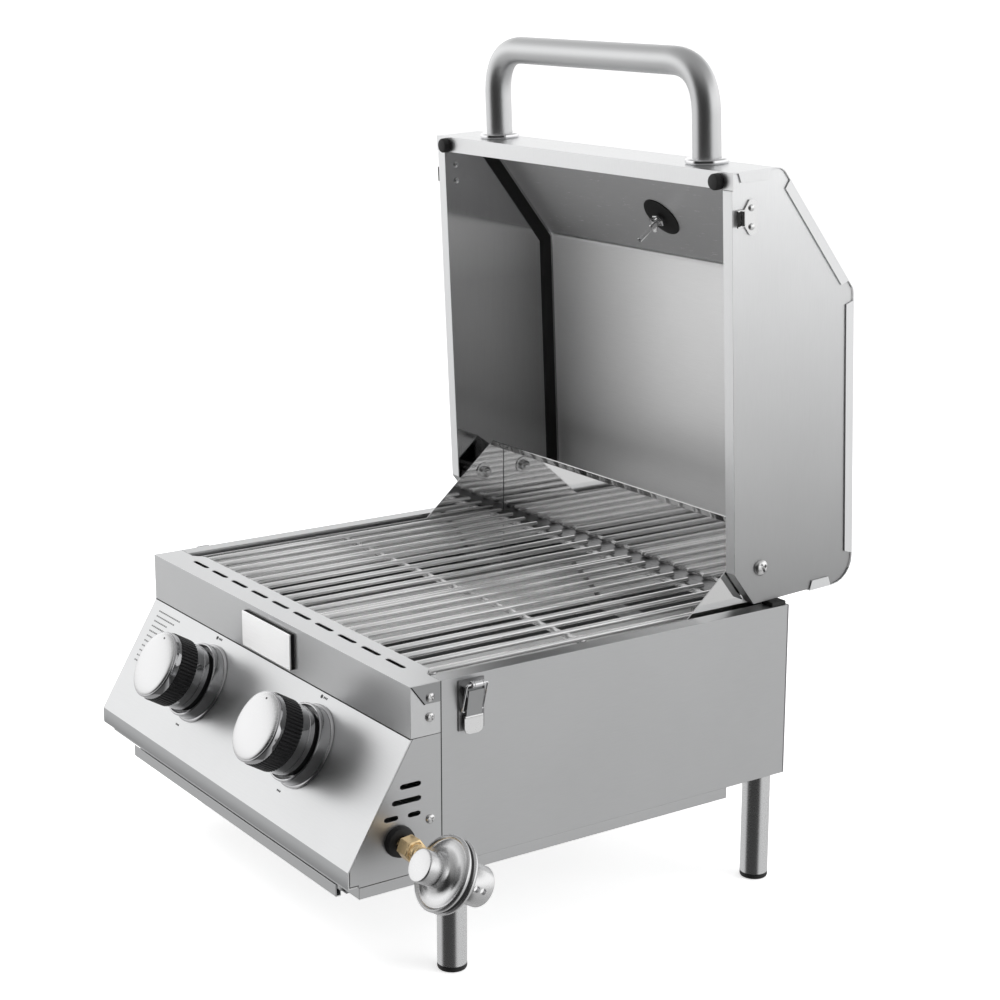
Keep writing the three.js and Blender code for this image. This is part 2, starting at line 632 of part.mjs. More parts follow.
// The lever leans in towards the body from its pin, and ends in a wider tab below a raised bend.
function latchLever() {
  const { halfW, tabHalfW, top, bend, tabEnd } = LEVER;
  const pin = rod("y", 1.6, -8.9, 8.9, 16).translate(LATCH_PIN.x, 0, LATCH_PIN.z);
  const curl = rod("y", 2.4, -halfW, halfW, 16).translate(LATCH_PIN.x, 0, LATCH_PIN.z);
  const side = [[top, 240.6], [top, 244.1], [bend, 239.9], [bend, 238.7], [top - 3, 241.6]];
  const plate = prism("y", side.reverse(), -halfW, halfW);
  const ridge = rod("y", 1.2, -8.6, 8.6, 12).translate(239.6, 0, bend - 0.4);
  const tab = prism("x", [
    [-tabHalfW, bend - 1], [-tabHalfW, tabEnd + 5], [-7.6, tabEnd + 1.5], [-4.2, tabEnd],
    [4.2, tabEnd], [7.6, tabEnd + 1.5], [tabHalfW, tabEnd + 5], [tabHalfW, bend - 1],
  ], 238.9, 240.1);
  const ear = (y) => box([236.4, 240.2], [y - 0.6, y + 0.6], [230, 236]);
  const solid = join(plate, pin, curl, ridge, tab, ear(0.6 - halfW), ear(halfW - 0.6));
  const eye = (y) => rod("y", BAIL.wireR + 0.25, y - 1.5, y + 1.5, 16).translate(BAIL_FOOT.x, 0, BAIL_FOOT.z);
  return cut(solid, eye(-halfW), eye(halfW)).translate(0, LATCH_Y, 0);
}

// The wire bail: two arms from the lever's eyes up to a roller.
function latchBail() {
  const { armY, wireR, rollerR } = BAIL;
  const dx = BAIL_HEAD.x - BAIL_FOOT.x;
  const dz = BAIL_HEAD.z - BAIL_FOOT.z;
  const length = Math.hypot(dx, dz);
  const arm = (y) => rod("z", wireR, 0, length, 10).rotateY(Math.atan2(dx, dz))
    .translate(BAIL_FOOT.x, y, BAIL_FOOT.z);
  const foot = [LEVER.halfW - 1.2, armY + wireR];
  const end = (y0, y1) => rod("y", wireR, y0, y1, 10).translate(BAIL_FOOT.x, 0, BAIL_FOOT.z);
  const bar = rod("y", wireR, -foot[1], foot[1], 10).translate(BAIL_HEAD.x, 0, BAIL_HEAD.z);
  const roller = rod("y", rollerR, -6.2, 6.2, 16).translate(BAIL_HEAD.x, 0, BAIL_HEAD.z);
  return join(bar, roller, arm(-armY), arm(armY), end(-foot[1], -foot[0]), end(foot[0], foot[1]))
    .translate(0, LATCH_Y, 0);
}

// ---------- gas regulator, its axis along z from the cap's face to the cylinder socket ----------
function inletFitting() {
  const hex = rod("x", 11, BODY_HALF_W + 4, BODY_HALF_W + 26, 6);
  const shank = rod("x", 5.2, BODY_HALF_W - 15.5, REGULATOR.x - 16.2, 16);
  const bore = rod("x", 3.5, BODY_HALF_W - 20, REGULATOR.x, 12);
  return cut(join(hex, shank), bore).translate(0, INLET.y, INLET.z);
}

function regulatorBody() {
  const profile = [
    [0, 12.3], [13.65, 12.3], [13.65, 24], [17, 26.6], [24, 27.5], [31.7, 28.2], [31.7, 34.5],
    [28.5, 35.5], [23, 38.5], [17, 40.5], [0, 40.5],
  ];
  return turned("z", profile, 32);
}

function regulatorCap() {
  const r = 13.65;
  return turned("z", [[0, 0], [r - 0.8, 0], [r, 0.8], [r, 12], [0, 12]], 32);
}

function cylinderSocket() {
  const profile = [
    [0, 40.8], [17, 40.8], [17, 66], [13.2, 66], [13.2, 46], [0, 46],
  ];
  return turned("z", profile, 32);
}

// ---------- assembly ----------
const grill = new THREE.Group();

function addFirebox() {
  onBothSides(grill, (half, side) => {
    place(half, `side_panel_${side}`, sidePanel(), steel);
    place(half, `liner_${side}`, linerSide(), mirrorSteel);
    place(half, `tray_rail_${side}`, trayRail(), darkSteel);
    place(half, `control_side_${side}`, controlSide(side), steel);
    place(half, `hinge_screw_${side}`, pivotScrew(), chrome);
    place(half, `latch_base_${side}`, latchBase(), darkSteel);
    place(half, `latch_lever_${side}`, latchLever(), steel);
    place(half, `latch_bail_${side}`, latchBail(), chrome);
  });
  place(grill, "rear_panel", rearPanel(), steel);
  place(grill, "liner_front", linerFront(), mirrorSteel);
  place(grill, "liner_rear", linerRear(), mirrorSteel);
  place(grill, "firebox_floor", fireboxFloor(), darkSteel);
  place(grill, "front_cap", frontCap(), steel);
  place(grill, "control_panel", controlPanel(), steel);
  place(grill, "base_pan", basePan(), darkSteel);
  place(grill, "drip_tray", dripTray(), darkSteel);
  place(grill, "rear_crossmember", rearCrossmember(), darkSteel);
}

function addControls() {
  for (const [side, x] of Object.entries(KNOB_XS)) {
    const frame = knobFrame(x);
    grill.add(frame);
    place(frame, `knob_bezel_${side}`, bezel(), chrome);
    place(frame, `knob_${side}`, knob(), blackPlastic);
    place(frame, `valve_stem_${side}`, valveStem(), brass);
    place(grill, `gas_valve_${side}`, gasValve(x), brass);
    place(grill, `burner_${side}`, burner(x), darkSteel);
    place(grill, `flame_tamer_${side}`, flameTamer(x), darkSteel);
    place(grill, `cooking_grate_${side}`, grate(GRATE_RODS[side]), chrome);
  }
  place(grill, "gas_pipe", gasPipe(), darkSteel);
}

function addRegulator() {
  place(grill, "inlet_fitting", inletFitting(), brass);
  const frame = new THREE.Group();
  frame.position.set(REGULATOR.x, REGULATOR.y, REGULATOR.z);
  frame.rotation.x = THREE.MathUtils.degToRad(-90 - REGULATOR.tiltDeg);
  grill.add(frame);
  place(frame, "regulator_body", regulatorBody(), zinc);
  place(frame, "regulator_cap", regulatorCap(), zinc);
  place(frame, "cylinder_socket", cylinderSocket(), zinc);
}

function addLegs() {
  const legs = [
    ["front", "x", FRONT_LEG_Y, FRONT_LEG_PIVOT_Z, PAN.bottom - GAP],
    ["rear", "y", REAR_LEG_Y, REAR_LEG_PIVOT_Z, REAR_LEG_PIVOT_Z + 15],
  ];
  for (const [end, axis, y, z, top] of legs) {
    onBothSides(grill, (half, side) => {
      const pivot = new THREE.Group();
      pivot.position.set(LEG_X, y, z);
      half.add(pivot);
      place(pivot, `leg_bracket_${end}_${side}`, legBracket(axis, top - z), darkSteel);
      place(pivot, `leg_${end}_${side}`, leg(axis, z), steel);
    });
  }
}

function addLid() {
  const lid = new THREE.Group();
  lid.position.set(0, PIVOT.y, PIVOT.z);
  lid.rotation.x = THREE.MathUtils.degToRad(-LID_OPEN_DEG);
  grill.add(lid);
  place(lid, "lid_wrap", lidWrap(), steel);
  place(lid, "lid_handle", lidHandle(), steel);
  onBothSides(lid, (half, side) => {
    place(half, `lid_side_${side}`, lidSide(), steel);
    place(half, `keeper_${side}`, keeper(), chrome);
  });
  const axis = new THREE.Vector3(0, -(LID.top - 26.3), LID.front - 235.9).normalize();
  const frame = thermoFrame(axis);
  lid.add(frame);
  place(frame, "thermometer", thermometer(), blackPlastic);
  place(frame, "thermometer_pointer", thermoPointer(), blackPlastic);
}

addFirebox();
addControls();
addRegulator();
addLegs();
addLid();

const whole = new THREE.Box3().setFromObject(grill, true);
const centre = whole.getCenter(new THREE.Vector3());
grill.position.set(-centre.x, -centre.y, -whole.min.z);

const model = new THREE.Group();
model.add(grill);
export default model;
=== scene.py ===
"""Looks of a portable two-burner tabletop gas grill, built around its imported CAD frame.

Sizes are in millimetres in the grill's own axes (x from the middle of the body to the right, y from the
front of the cap rail to the back, z up from the table) and P() turns them into the frame's metres.
"""
import math

import bmesh
import bpy
from mathutils import Matrix, Vector


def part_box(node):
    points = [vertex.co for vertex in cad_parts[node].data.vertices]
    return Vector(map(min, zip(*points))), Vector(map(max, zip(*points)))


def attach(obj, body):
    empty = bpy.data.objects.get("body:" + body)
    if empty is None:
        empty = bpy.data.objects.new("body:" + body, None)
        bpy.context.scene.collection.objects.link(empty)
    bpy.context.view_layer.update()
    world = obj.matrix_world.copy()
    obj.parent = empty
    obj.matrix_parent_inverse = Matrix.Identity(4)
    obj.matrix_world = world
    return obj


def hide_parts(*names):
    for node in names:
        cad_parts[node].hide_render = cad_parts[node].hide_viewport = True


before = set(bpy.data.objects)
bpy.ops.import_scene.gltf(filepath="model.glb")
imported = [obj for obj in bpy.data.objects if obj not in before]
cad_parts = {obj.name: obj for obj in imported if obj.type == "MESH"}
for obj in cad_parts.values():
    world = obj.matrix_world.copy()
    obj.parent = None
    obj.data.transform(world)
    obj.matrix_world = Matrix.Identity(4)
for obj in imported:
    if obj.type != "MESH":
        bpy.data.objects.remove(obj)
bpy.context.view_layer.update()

MM = 0.001
CAP_LOW, CAP_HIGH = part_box("front_cap")
ORIGIN = Vector(((CAP_LOW.x + CAP_HIGH.x) / 2, CAP_LOW.y, 0.0))
SIDES = (("right", 1), ("left", -1))
SIDE_X = 235.0  # outer face of the body's side panels
WALL_X = 212.8  # inner face of the firebox's side walls


def P(x, y, z):
    """A point of the grill, from its own millimetres to the frame's metres."""
    return ORIGIN + Vector((x, y, z)) * MM


# ---------------------------------------------------------------- frames of the main assemblies
PIVOT_Y, PIVOT_Z = 370.0, 300.0  # the lid's hinge
OPEN_DEG = 87.45
# The lid's section when closed, forward of the hinge and up from it.
LID_TOP, LID_BEND, LID_FRONT, LID_FRONT_TOP = 108.5, 235.9, 351.6, 26.3
LID = Matrix.Translation(P(0, PIVOT_Y, PIVOT_Z)) @ Matrix.Rotation(math.radians(-OPEN_DEG), 4, "X")
PANEL_TOP = Vector((0, 0.2, 218.2))
PANEL_FOOT = Vector((0, -60.2, 118.0))
PANEL_DOWN = (PANEL_FOOT - PANEL_TOP).normalized()
PANEL_TILT = math.acos(-PANEL_DOWN.y)
KNOB_XS = {"left": -90.0, "right": 104.7}
KNOB_DOWN = 48.1  # from the panel's top edge down to the knobs' axes


def panel_frame(x, down):
    """A frame on the control panel, with x to the right, y up the panel and z out of it."""
    p = PANEL_TOP + PANEL_DOWN * down
    return Matrix.Translation(P(x, p.y, p.z)) @ Matrix.Rotation(PANEL_TILT, 4, "X")


# The regulator's axis, from its cap towards the cylinder socket.
REGULATOR = Matrix.Translation(P(298, -32.4, 141.5)) @ Matrix.Rotation(math.radians(-120), 4, "X")


def lid_point(x, forward, up):
    """A point of the lid, measured forward of the hinge and up from it with the lid closed."""
    return LID @ (Vector((x, -forward, up)) * MM)


# ---------------------------------------------------------------- materials
def new_material(name):
    """A material, its node tree and its main shader."""
    m = bpy.data.materials.new(name)
    m.use_nodes = True
    tree = m.node_tree
    return m, tree, tree.nodes["Principled BSDF"]


def add(tree, kind, **inputs):
    """A new node with its settings and input values."""
    n = tree.nodes.new(kind)
    for key, value in inputs.items():
        if hasattr(n, key):
            setattr(n, key, value)
        else:
            n.inputs[key.replace("_", " ")].default_value = value
    return n


def ramp(tree, source, stops):
    """A colour ramp over the source, through (position, grey or colour) stops."""
    n = tree.nodes.new("ShaderNodeValToRGB")
    elements = n.color_ramp.elements
    while len(elements) < len(stops):
        elements.new(0.5)
    for e, (position, value) in zip(elements, stops):
        e.position = position
        e.color = (value, value, value, 1) if isinstance(value, float) else (*value, 1)
    tree.links.new(source, n.inputs["Fac"])
    return n.outputs["Color"]


def noise(tree, stretch, scale, detail=4.0, roughness=0.6):
    """Noise in object space, drawn out along the axes whose stretch is small."""
    coords = add(tree, "ShaderNodeTexCoord")
    mapping = add(tree, "ShaderNodeMapping", Scale=stretch)
    tree.links.new(coords.outputs["Object"], mapping.inputs["Vector"])
    n = add(tree, "ShaderNodeTexNoise", Scale=scale, Detail=detail, Roughness=roughness)
    tree.links.new(mapping.outputs["Vector"], n.inputs["Vector"])
    return n.outputs["Fac"]


def bump(tree, shader, height, strength, distance):
    b = add(tree, "ShaderNodeBump", Strength=strength, Distance=distance)
    tree.links.new(height, b.inputs["Height"])
    tree.links.new(b.outputs["Normal"], shader.inputs["Normal"])


def painted_shade_by_height(tree, tone, low, high, share):
    """The tone, darkened as painted shade to a share of itself from the height high down to the height low.
    """
    coords = add(tree, "ShaderNodeTexCoord")
    split = add(tree, "ShaderNodeSeparateXYZ")
    tree.links.new(coords.outputs["Object"], split.inputs[0])
    height = add(tree, "ShaderNodeMapRange")
    height.inputs["From Min"].default_value = low
    height.inputs["From Max"].default_value = high
    tree.links.new(split.outputs["Z"], height.inputs["Value"])
    mix = add(tree, "ShaderNodeMix", data_type="RGBA", blend_type="MULTIPLY")
    mix.inputs["Factor"].default_value = 1.0
    tree.links.new(tone, mix.inputs["A"])
    tree.links.new(ramp(tree, height.outputs["Result"], [(0.0, share), (1.0, 1.0)]), mix.inputs["B"])
    return mix.outputs["Result"]


def metal(name, color, rough, grain=(1, 1, 1), grain_scale=2600.0, spread=0.035, scratch=0.05, tint=0.02,
          metallic=1.0, painted_shade=None):
    """Metal sheet with a fine drawn-out grain in its roughness, height and brightness.

    The painted shade (low, high, share) darkens it to the share below the height low, in metres.
    """
    m, tree, shader = new_material(name)
    shader.inputs["Metallic"].default_value = metallic
    streaks = noise(tree, grain, grain_scale)
    cloud = noise(tree, (1, 1, 1), 9.0, 3.0)
    low = [c * (1 - tint) for c in color]
    high = [min(1.0, c * (1 + tint)) for c in color]
    mix = add(tree, "ShaderNodeMix", data_type="RGBA", blend_type="MULTIPLY")
    mix.inputs["Factor"].default_value = 1.0
    tree.links.new(ramp(tree, streaks, [(0.35, low), (0.65, high)]), mix.inputs["A"])
    tree.links.new(ramp(tree, cloud, [(0.3, 0.965), (0.7, 1.0)]), mix.inputs["B"])
    tone = mix.outputs["Result"]
    # Painted shade: the tone darkens towards the low height.
    if painted_shade:
        tone = painted_shade_by_height(tree, tone, *painted_shade)
    tree.links.new(tone, shader.inputs["Base Color"])
    tree.links.new(ramp(tree, streaks, [(0.3, max(0.02, rough - spread)), (0.7, rough + spread)]),
                   shader.inputs["Roughness"])
    bump(tree, shader, streaks, scratch, 0.00004)
    return m


def dielectric(name, color, rough, scale=700.0, height=0.15, tint=0.15):
    """Plastic, rubber or paint with a fine speck in its colour, roughness and height."""
    m, tree, shader = new_material(name)
    speck = noise(tree, (1, 1, 1), scale)
    low = [c * (1 - tint) for c in color]
    high = [min(1.0, c * (1 + tint)) for c in color]
    tree.links.new(ramp(tree, speck, [(0.35, low), (0.65, high)]), shader.inputs["Base Color"])
    tree.links.new(ramp(tree, speck, [(0.3, rough - 0.06), (0.7, rough + 0.06)]), shader.inputs["Roughness"])
    bump(tree, shader, speck, height, 0.00005)
    return m


# The grain's direction: noise is drawn out along the axis with the small factor.
ALONG_X, ALONG_Y, ALONG_Z = (0.02, 1, 1), (1, 0.02, 1), (1, 1, 0.02)
M = {
    "panel": metal("panel_satin", (0.75, 0.755, 0.76), 0.33, ALONG_X, metallic=0.95),
    "cap": metal("cap_satin", (0.69, 0.695, 0.70), 0.35, ALONG_X, metallic=0.9),
    "side": metal("side_satin", (0.62, 0.625, 0.63), 0.36, ALONG_Y),
    # Painted reflection: the end flap's steel is darkened for the dark lid that it mirrors.
    "flap": metal("cap_end_flap_painted_reflection", (0.40, 0.405, 0.41), 0.34, ALONG_Y),
    # Painted shade: the outer side panel darkens towards the hinge.
    "lid_side": metal("lid_side_satin", (0.88, 0.885, 0.89), 0.34, ALONG_Z, metallic=0.85,
                      painted_shade=(0.27, 0.66, 0.42)),
    "lid": metal("lid_satin", (0.80, 0.805, 0.81), 0.30, ALONG_X),
    # Painted light: a brighter, less metallic copy of the lid sheet for its inner back, with painted shade
    # towards the bottom.
    "lid_back": metal("lid_back_painted_light", (0.97, 0.97, 0.97), 0.34, ALONG_X, scratch=0.02, metallic=0.25,
                      painted_shade=(0.34, 0.52, 0.78)),
    # Painted shade: the polished inside darkens towards the bottom.
    "lid_wall": metal("lid_wall_polished", (0.62, 0.62, 0.625), 0.10, ALONG_Z, 900, 0.02, 0.02,
                      painted_shade=(0.50, 0.61, 0.6)),
    # Painted shade: a darker, less metallic copy of the lid sheet for its inner slope.
    "slope": metal("lid_slope_painted_shade", (0.55, 0.55, 0.555), 0.24, ALONG_X, scratch=0.02, metallic=0.5),
    "edge": metal("folded_edge", (0.90, 0.905, 0.91), 0.32, ALONG_Z),
    "mirror": metal("polished_sheet", (0.82, 0.82, 0.82), 0.05, ALONG_X, 900, 0.015, 0.02, 0.01),
    "tube": metal("brushed_tube", (0.86, 0.865, 0.87), 0.27, (1, 1, 1), 2000, 0.04, 0.05),
    "handle": metal("satin_handle", (0.74, 0.745, 0.75), 0.38, (1, 1, 1), 2000, 0.04, 0.06),
    "knob_chrome": metal("knob_chrome", (0.58, 0.58, 0.59), 0.09, (1, 1, 1), 300, 0.02, 0.03, 0.01),
    # Painted shade: a darker copy of the panel's steel for its front-facing lip.
    "lip": metal("panel_lip_painted_shade", (0.40, 0.405, 0.41), 0.40, ALONG_X),
    "chrome": metal("bright_chrome", (0.88, 0.88, 0.89), 0.07, (1, 1, 1), 60, 0.02, 0.02, 0.01),
    "rod": metal("bright_rod", (0.94, 0.94, 0.94), 0.14, ALONG_Y, 1500, 0.03, 0.04, metallic=0.72),
    "face": metal("knob_face_satin", (0.80, 0.80, 0.805), 0.26, (1, 1, 1), 2000, 0.03, 0.05),
    "tamer": metal("heat_plate", (0.80, 0.80, 0.80), 0.36, ALONG_Y, metallic=0.6),
    # Dark steel for inner parts; on the latch bases it is painted shade.
    "dark": metal("dark_steel_and_painted_shade", (0.30, 0.30, 0.305), 0.42, ALONG_Y),
    "cast": metal("satin_nickel", (0.80, 0.80, 0.805), 0.26, (1, 1, 1), 1500, 0.05, 0.08),
    "brass": metal("machined_brass", (0.98, 0.74, 0.42), 0.22, (1, 1, 1), 900, 0.05, 0.08, metallic=0.8),
    "badge": metal("badge_plate", (0.97, 0.97, 0.97), 0.42, ALONG_X, metallic=0.1),
    "zinc": metal("zinc_latch", (0.88, 0.88, 0.88), 0.22, ALONG_Z, 1500, 0.04, 0.06),
    # Painted shade and painted highlight: the lever is one sheet, darker on its plate and near-white on its
    # tab.
    "lever": metal("lever_plate", (0.50, 0.505, 0.51), 0.36, ALONG_Z),
    "tab": metal("lever_tab", (0.97, 0.97, 0.97), 0.3, (1, 1, 1), 1500, 0.04, 0.04),
    "plastic": dielectric("black_plastic", (0.012, 0.012, 0.013), 0.38),
    "rubber": dielectric("black_rubber", (0.009, 0.009, 0.009), 0.55),
    # Black for seams, backings, the regulator's groove and the thermometer's plate; also painted shade in the
    # lid's inner corners and the keeper's slots.
    "black_and_shade": dielectric("black_and_painted_shade", (0.008, 0.008, 0.008), 0.7),
    "ink": dielectric("black_ink", (0.02, 0.02, 0.02), 0.5),
    "print": dielectric("grey_print", (0.16, 0.16, 0.16), 0.5),
    "dial": dielectric("dial_white", (0.82, 0.82, 0.8), 0.4, 300, 0.02, 0.02),
}


# ---------------------------------------------------------------- mesh tools
BEVEL_FROM = 32  # degrees between two faces from which their edge is bevelled


def apply_modifiers(o):
    bpy.context.view_layer.update()
    made = bpy.data.meshes.new_from_object(o.evaluated_get(bpy.context.evaluated_depsgraph_get()))
    o.modifiers.clear()
    o.data = made


def paint(o, index, chosen):
    """Gives the material of that index to the faces that chosen(centre, normal) picks."""
    for face in o.data.polygons:
        if chosen(face.center, face.normal):
            face.material_index = index


def finish_mesh(name, mesh, material, body, slot=None, angle=35, bevel=None, replaces=()):
    """Links the mesh as a piece that rides on a body, with a small bevel if asked."""
    o = bpy.data.objects.new(name, mesh)
    bpy.context.scene.collection.objects.link(o)
    if bevel:
        mod = o.modifiers.new("bevel", "BEVEL")
        mod.width = bevel * MM
        mod.segments = 2
        mod.limit_method = "ANGLE"
        mod.angle_limit = math.radians(BEVEL_FROM)
        mod.use_clamp_overlap = True
        mod.harden_normals = False
        apply_modifiers(o)
    mesh = o.data
    mesh.materials.clear()
    for m in material if isinstance(material, (list, tuple)) else [material]:
        mesh.materials.append(m)
    mesh.shade_smooth()
    mesh.set_sharp_from_angle(angle=math.radians(angle))
    if bevel:
        mod = o.modifiers.new("weigh", "WEIGHTED_NORMAL")
        mod.mode = "FACE_AREA"
        mod.weight = 100
        mod.keep_sharp = True
        apply_modifiers(o)
    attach(o, body)
    if replaces:
        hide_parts(*replaces)
    return o


def from_bmesh(name, bm, *args, **kwargs):
    """A piece from bm, with the rest of finish_mesh's arguments."""
    bmesh.ops.recalc_face_normals(bm, faces=bm.faces)
    mesh = bpy.data.meshes.new(name)
    bm.to_mesh(mesh)
    bm.free()
    return finish_mesh(name, mesh, *args, **kwargs)


def dress(node, material, body, slot, bevel=0.3):
    """A bevelled copy of a CAD node's solid, shown in its place."""
    bm = bmesh.new()
    bm.from_mesh(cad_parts[node].data)
    bmesh.ops.remove_doubles(bm, verts=bm.verts, dist=1e-6)
    bmesh.ops.dissolve_limit(bm, angle_limit=math.radians(1.5), verts=bm.verts, edges=bm.edges)
    return from_bmesh(f"{node}_skin", bm, material, body, slot, 30, bevel, [node])


def spin(bm, profile, matrix, sides=64, close=False):
    """Adds a turned surface to bm. The profile is [radius, height] points from the axis and back to it."""
    rings = []
    for r, h in profile:
        if r < 1e-6:
            rings.append([bm.verts.new(matrix @ Vector((0, 0, h * MM)))])
            continue
        rings.append([
            bm.verts.new(matrix @ (Vector((r * math.cos(t), r * math.sin(t), h)) * MM))
            for t in (2 * math.pi * i / sides for i in range(sides))
        ])
    pairs = list(zip(rings, rings[1:])) + ([(rings[-1], rings[0])] if close else [])
    for a, b in pairs:
        for i in range(sides):
            j = (i + 1) % sides
            corner = [a[i % len(a)], a[j % len(a)], b[j % len(b)], b[i % len(b)]]
            seen = []
            for v in corner:
                if v not in seen:
                    seen.append(v)
            if len(seen) > 2:
                bm.faces.new(seen)


def turned(name, profile, matrix, material, body, slot=None, sides=64, close=False, angle=35, replaces=()):
    """A turned piece; close joins the profile's last point to its first, for a ring."""
    bm = bmesh.new()
    spin(bm, profile, matrix, sides, close)
    return from_bmesh(name, bm, material, body, slot, angle, None, replaces)


def tube(name, points, radius, material, body, slot, replaces, resolution):
    """A round tube or wire along the points, capped at both ends."""
    curve = bpy.data.curves.new(name, "CURVE")
    curve.dimensions = "3D"
    curve.bevel_depth = radius * MM
    curve.bevel_resolution = resolution
    curve.use_fill_caps = True
    spline = curve.splines.new("POLY")
    spline.points.add(len(points) - 1)
    for p, q in zip(spline.points, points):
        p.co = (*q, 1)
    o = bpy.data.objects.new(name, curve)
    bpy.context.scene.collection.objects.link(o)
    bpy.context.view_layer.update()
    mesh = bpy.data.meshes.new_from_object(o.evaluated_get(bpy.context.evaluated_depsgraph_get()))
    bpy.data.objects.remove(o)
    return finish_mesh(name, mesh, material, body, slot, 40, None, replaces)


def prism(bm, outline, matrix, low, high):
    """Adds a closed prism. The outline is in the matrix's x-y plane and runs along its z, in mm."""
    rings = [[bm.verts.new(matrix @ (Vector((x, y, z)) * MM)) for x, y in outline] for z in (low, high)]
    n = len(outline)
    for i in range(n):
        j = (i + 1) % n
        bm.faces.new([rings[0][i], rings[0][j], rings[1][j], rings[1][i]])
    bm.faces.new(rings[0])
    bm.faces.new(rings[1])


def plate(name, outline, matrix, low, high, material, body, bevel=None):
    """A flat piece of detail with the outline, from low to high along the matrix's z."""
    bm = bmesh.new()
    prism(bm, outline, matrix, low, high)
    return from_bmesh(name, bm, material, body, None, 30, bevel)


def rect(x0, x1, y0, y1):
    return [(x0, y0), (x1, y0), (x1, y1), (x0, y1)]


def arc(r, turns, cx=0.0, cy=0.0):
    return [(cx + r * math.cos(t), cy + r * math.sin(t)) for t in turns]


def circle(cx, cy, r, n=16):
    return arc(r, [2 * math.pi * i / n for i in range(n)], cx, cy)


def quarter_bend(centre, start, end, steps):
    """Points on the quarter bend from start to end whose corner is at centre."""
    return [
        (1 - t) ** 2 * Vector(start) + 2 * t * (1 - t) * Vector(centre) + t ** 2 * Vector(end)
        for t in (i / steps for i in range(steps + 1))
    ]


def facing(point, direction, up=(0, 0, 1)):
    """A frame at a point whose z axis is the direction."""
    z = Vector(direction).normalized()
    x = Vector(up).cross(z)
    if x.length < 1e-6:
        x = Vector((1, 0, 0))
    x.normalize()
    y = z.cross(x)
    rot = Matrix((x, y, z)).transposed().to_4x4()
    return Matrix.Translation(point) @ rot


def carve(target, bm):
    """Cuts the closed shapes in bm out of the target."""
    bmesh.ops.recalc_face_normals(bm, faces=bm.faces)
    mesh = bpy.data.meshes.new("cutter")
    bm.to_mesh(mesh)
    bm.free()
    cutter = bpy.data.objects.new("cutter", mesh)
    bpy.context.scene.collection.objects.link(cutter)
    mod = target.modifiers.new("cut", "BOOLEAN")
    mod.operation = "DIFFERENCE"
    mod.solver = "EXACT"
    mod.object = cutter
    apply_modifiers(target)
    bpy.data.objects.remove(cutter)
    target.data.set_sharp_from_angle(angle=math.radians(40))


def screw(name, matrix, body, r, height):
    """A pan head with a cross recess, standing on the matrix's x-y plane."""
    pan = [(0, 0), (r, 0), (r, height * 0.35), (r * 0.86, height * 0.72), (r * 0.55, height),
           (0, height * 1.08)]
    head = turned(name, pan, matrix, M["zinc"], body, "chrome", 32, angle=40)
    w, l = r * 0.17, r * 0.6
    cross = [(-w, -l), (w, -l), (w, -w), (l, -w), (l, w), (w, w), (w, l), (-w, l), (-w, w), (-l, w),
             (-l, -w), (-w, -w)]
    bm = bmesh.new()
    prism(bm, cross, matrix @ Matrix.Rotation(0.5, 4, "Z"), height * 0.45, height * 1.5)
    carve(head, bm)
    return head


# ---------------------------------------------------------------- firebox and base
def build_walls(side):
    """The sheet pieces and burner parts that come in pairs."""
    dress(f"side_panel_{side}", M["side"], "firebox", "satin_steel")
    dress(f"control_side_{side}", M["side"], "firebox", "satin_steel", 0.2)
    dress(f"liner_{side}", M["mirror"], "firebox", "polished_steel", 0.3)
    dress(f"tray_rail_{side}", M["dark"], "firebox", "plain_steel", 0.2)
    dress(f"flame_tamer_{side}", M["tamer"], "firebox", "plain_steel", 0.3)
    for end in ("front", "rear"):
        dress(f"leg_bracket_{end}_{side}", M["dark"], "firebox", "plain_steel", 0.2)
    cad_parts[f"burner_{side}"].data.materials[0] = M["dark"]
    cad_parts[f"gas_valve_{side}"].data.materials[0] = M["brass"]
    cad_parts[f"valve_stem_{side}"].data.materials[0] = M["brass"]


def build_side_details(side, s):
    """The cap's end flap, the seams and screws of one side, its lid stop and its hinge nut."""
    face = facing(P(s * SIDE_X, 0, 0), (s, 0, 0))
    flap = [(0.6, 262.0), (28.4, 262.0), (28.4, 245.4), (13.2, 245.4)]
    flap_seam = [(0.2, 261.9), (1.3, 261.9), (13.9, 245.2), (12.6, 245.2)]
    joint = [(28.5, 119.0), (29.4, 119.0), (29.4, 262.2), (28.5, 262.2)]
    for name, outline, low, high, material, bevel in (
        # The flap's dark steel is painted reflection of the lid.
        ("cap_flap", flap, 0.02, 0.45, M["flap"], 0.15),
        ("cap_flap_seam", flap_seam, 0.05, 0.5, M["black_and_shade"], None),
        ("side_seam", joint, 0.02, 0.1, M["black_and_shade"], None),
    ):
        plate(f"{name}_{side}", [(s * y, z) for y, z in outline], face, low, high, material, "firebox", bevel)
    for name, y, z, height in (("cap_screw_{}_250", 18.5, 250.6, 2.0), ("cap_screw_{}_234", 18.2, 234.0, 2.0),
                               ("panel_screw_{}", 17.8, 146.5, 1.9)):
        screw(name.format(side), facing(P(s * SIDE_X, y, z), (s, 0, 0)), "firebox", 4.2, height)
    stop_at = Matrix.Translation(P(s * 227, 388, 262.5))
    plate(f"lid_stop_{side}", rect(-7.5, 7.5, -8, 8), stop_at, 0, 4.2, M["rubber"], "firebox", 0.8)
    nut = [(0, 0), (9, 0), (9, 1.2), (5.6, 1.3), (5.4, 5), (4, 5.6), (2.6, 5.6), (2.6, 7.5), (0, 8)]
    nut_at = facing(P(s * WALL_X, PIVOT_Y, PIVOT_Z), (-s, 0, 0))
    turned(f"hinge_nut_{side}", nut, nut_at, M["zinc"], "firebox", "chrome", 24)
    corner = [(s * x, y) for x, y in ((WALL_X, 394.8), (213.9, 394.8), (213.9, 395.9), (WALL_X, 395.9))]
    plate(f"corner_seam_{side}", corner, Matrix.Translation(P(0, 0, 0)), 180, 318, M["dark"], "firebox")


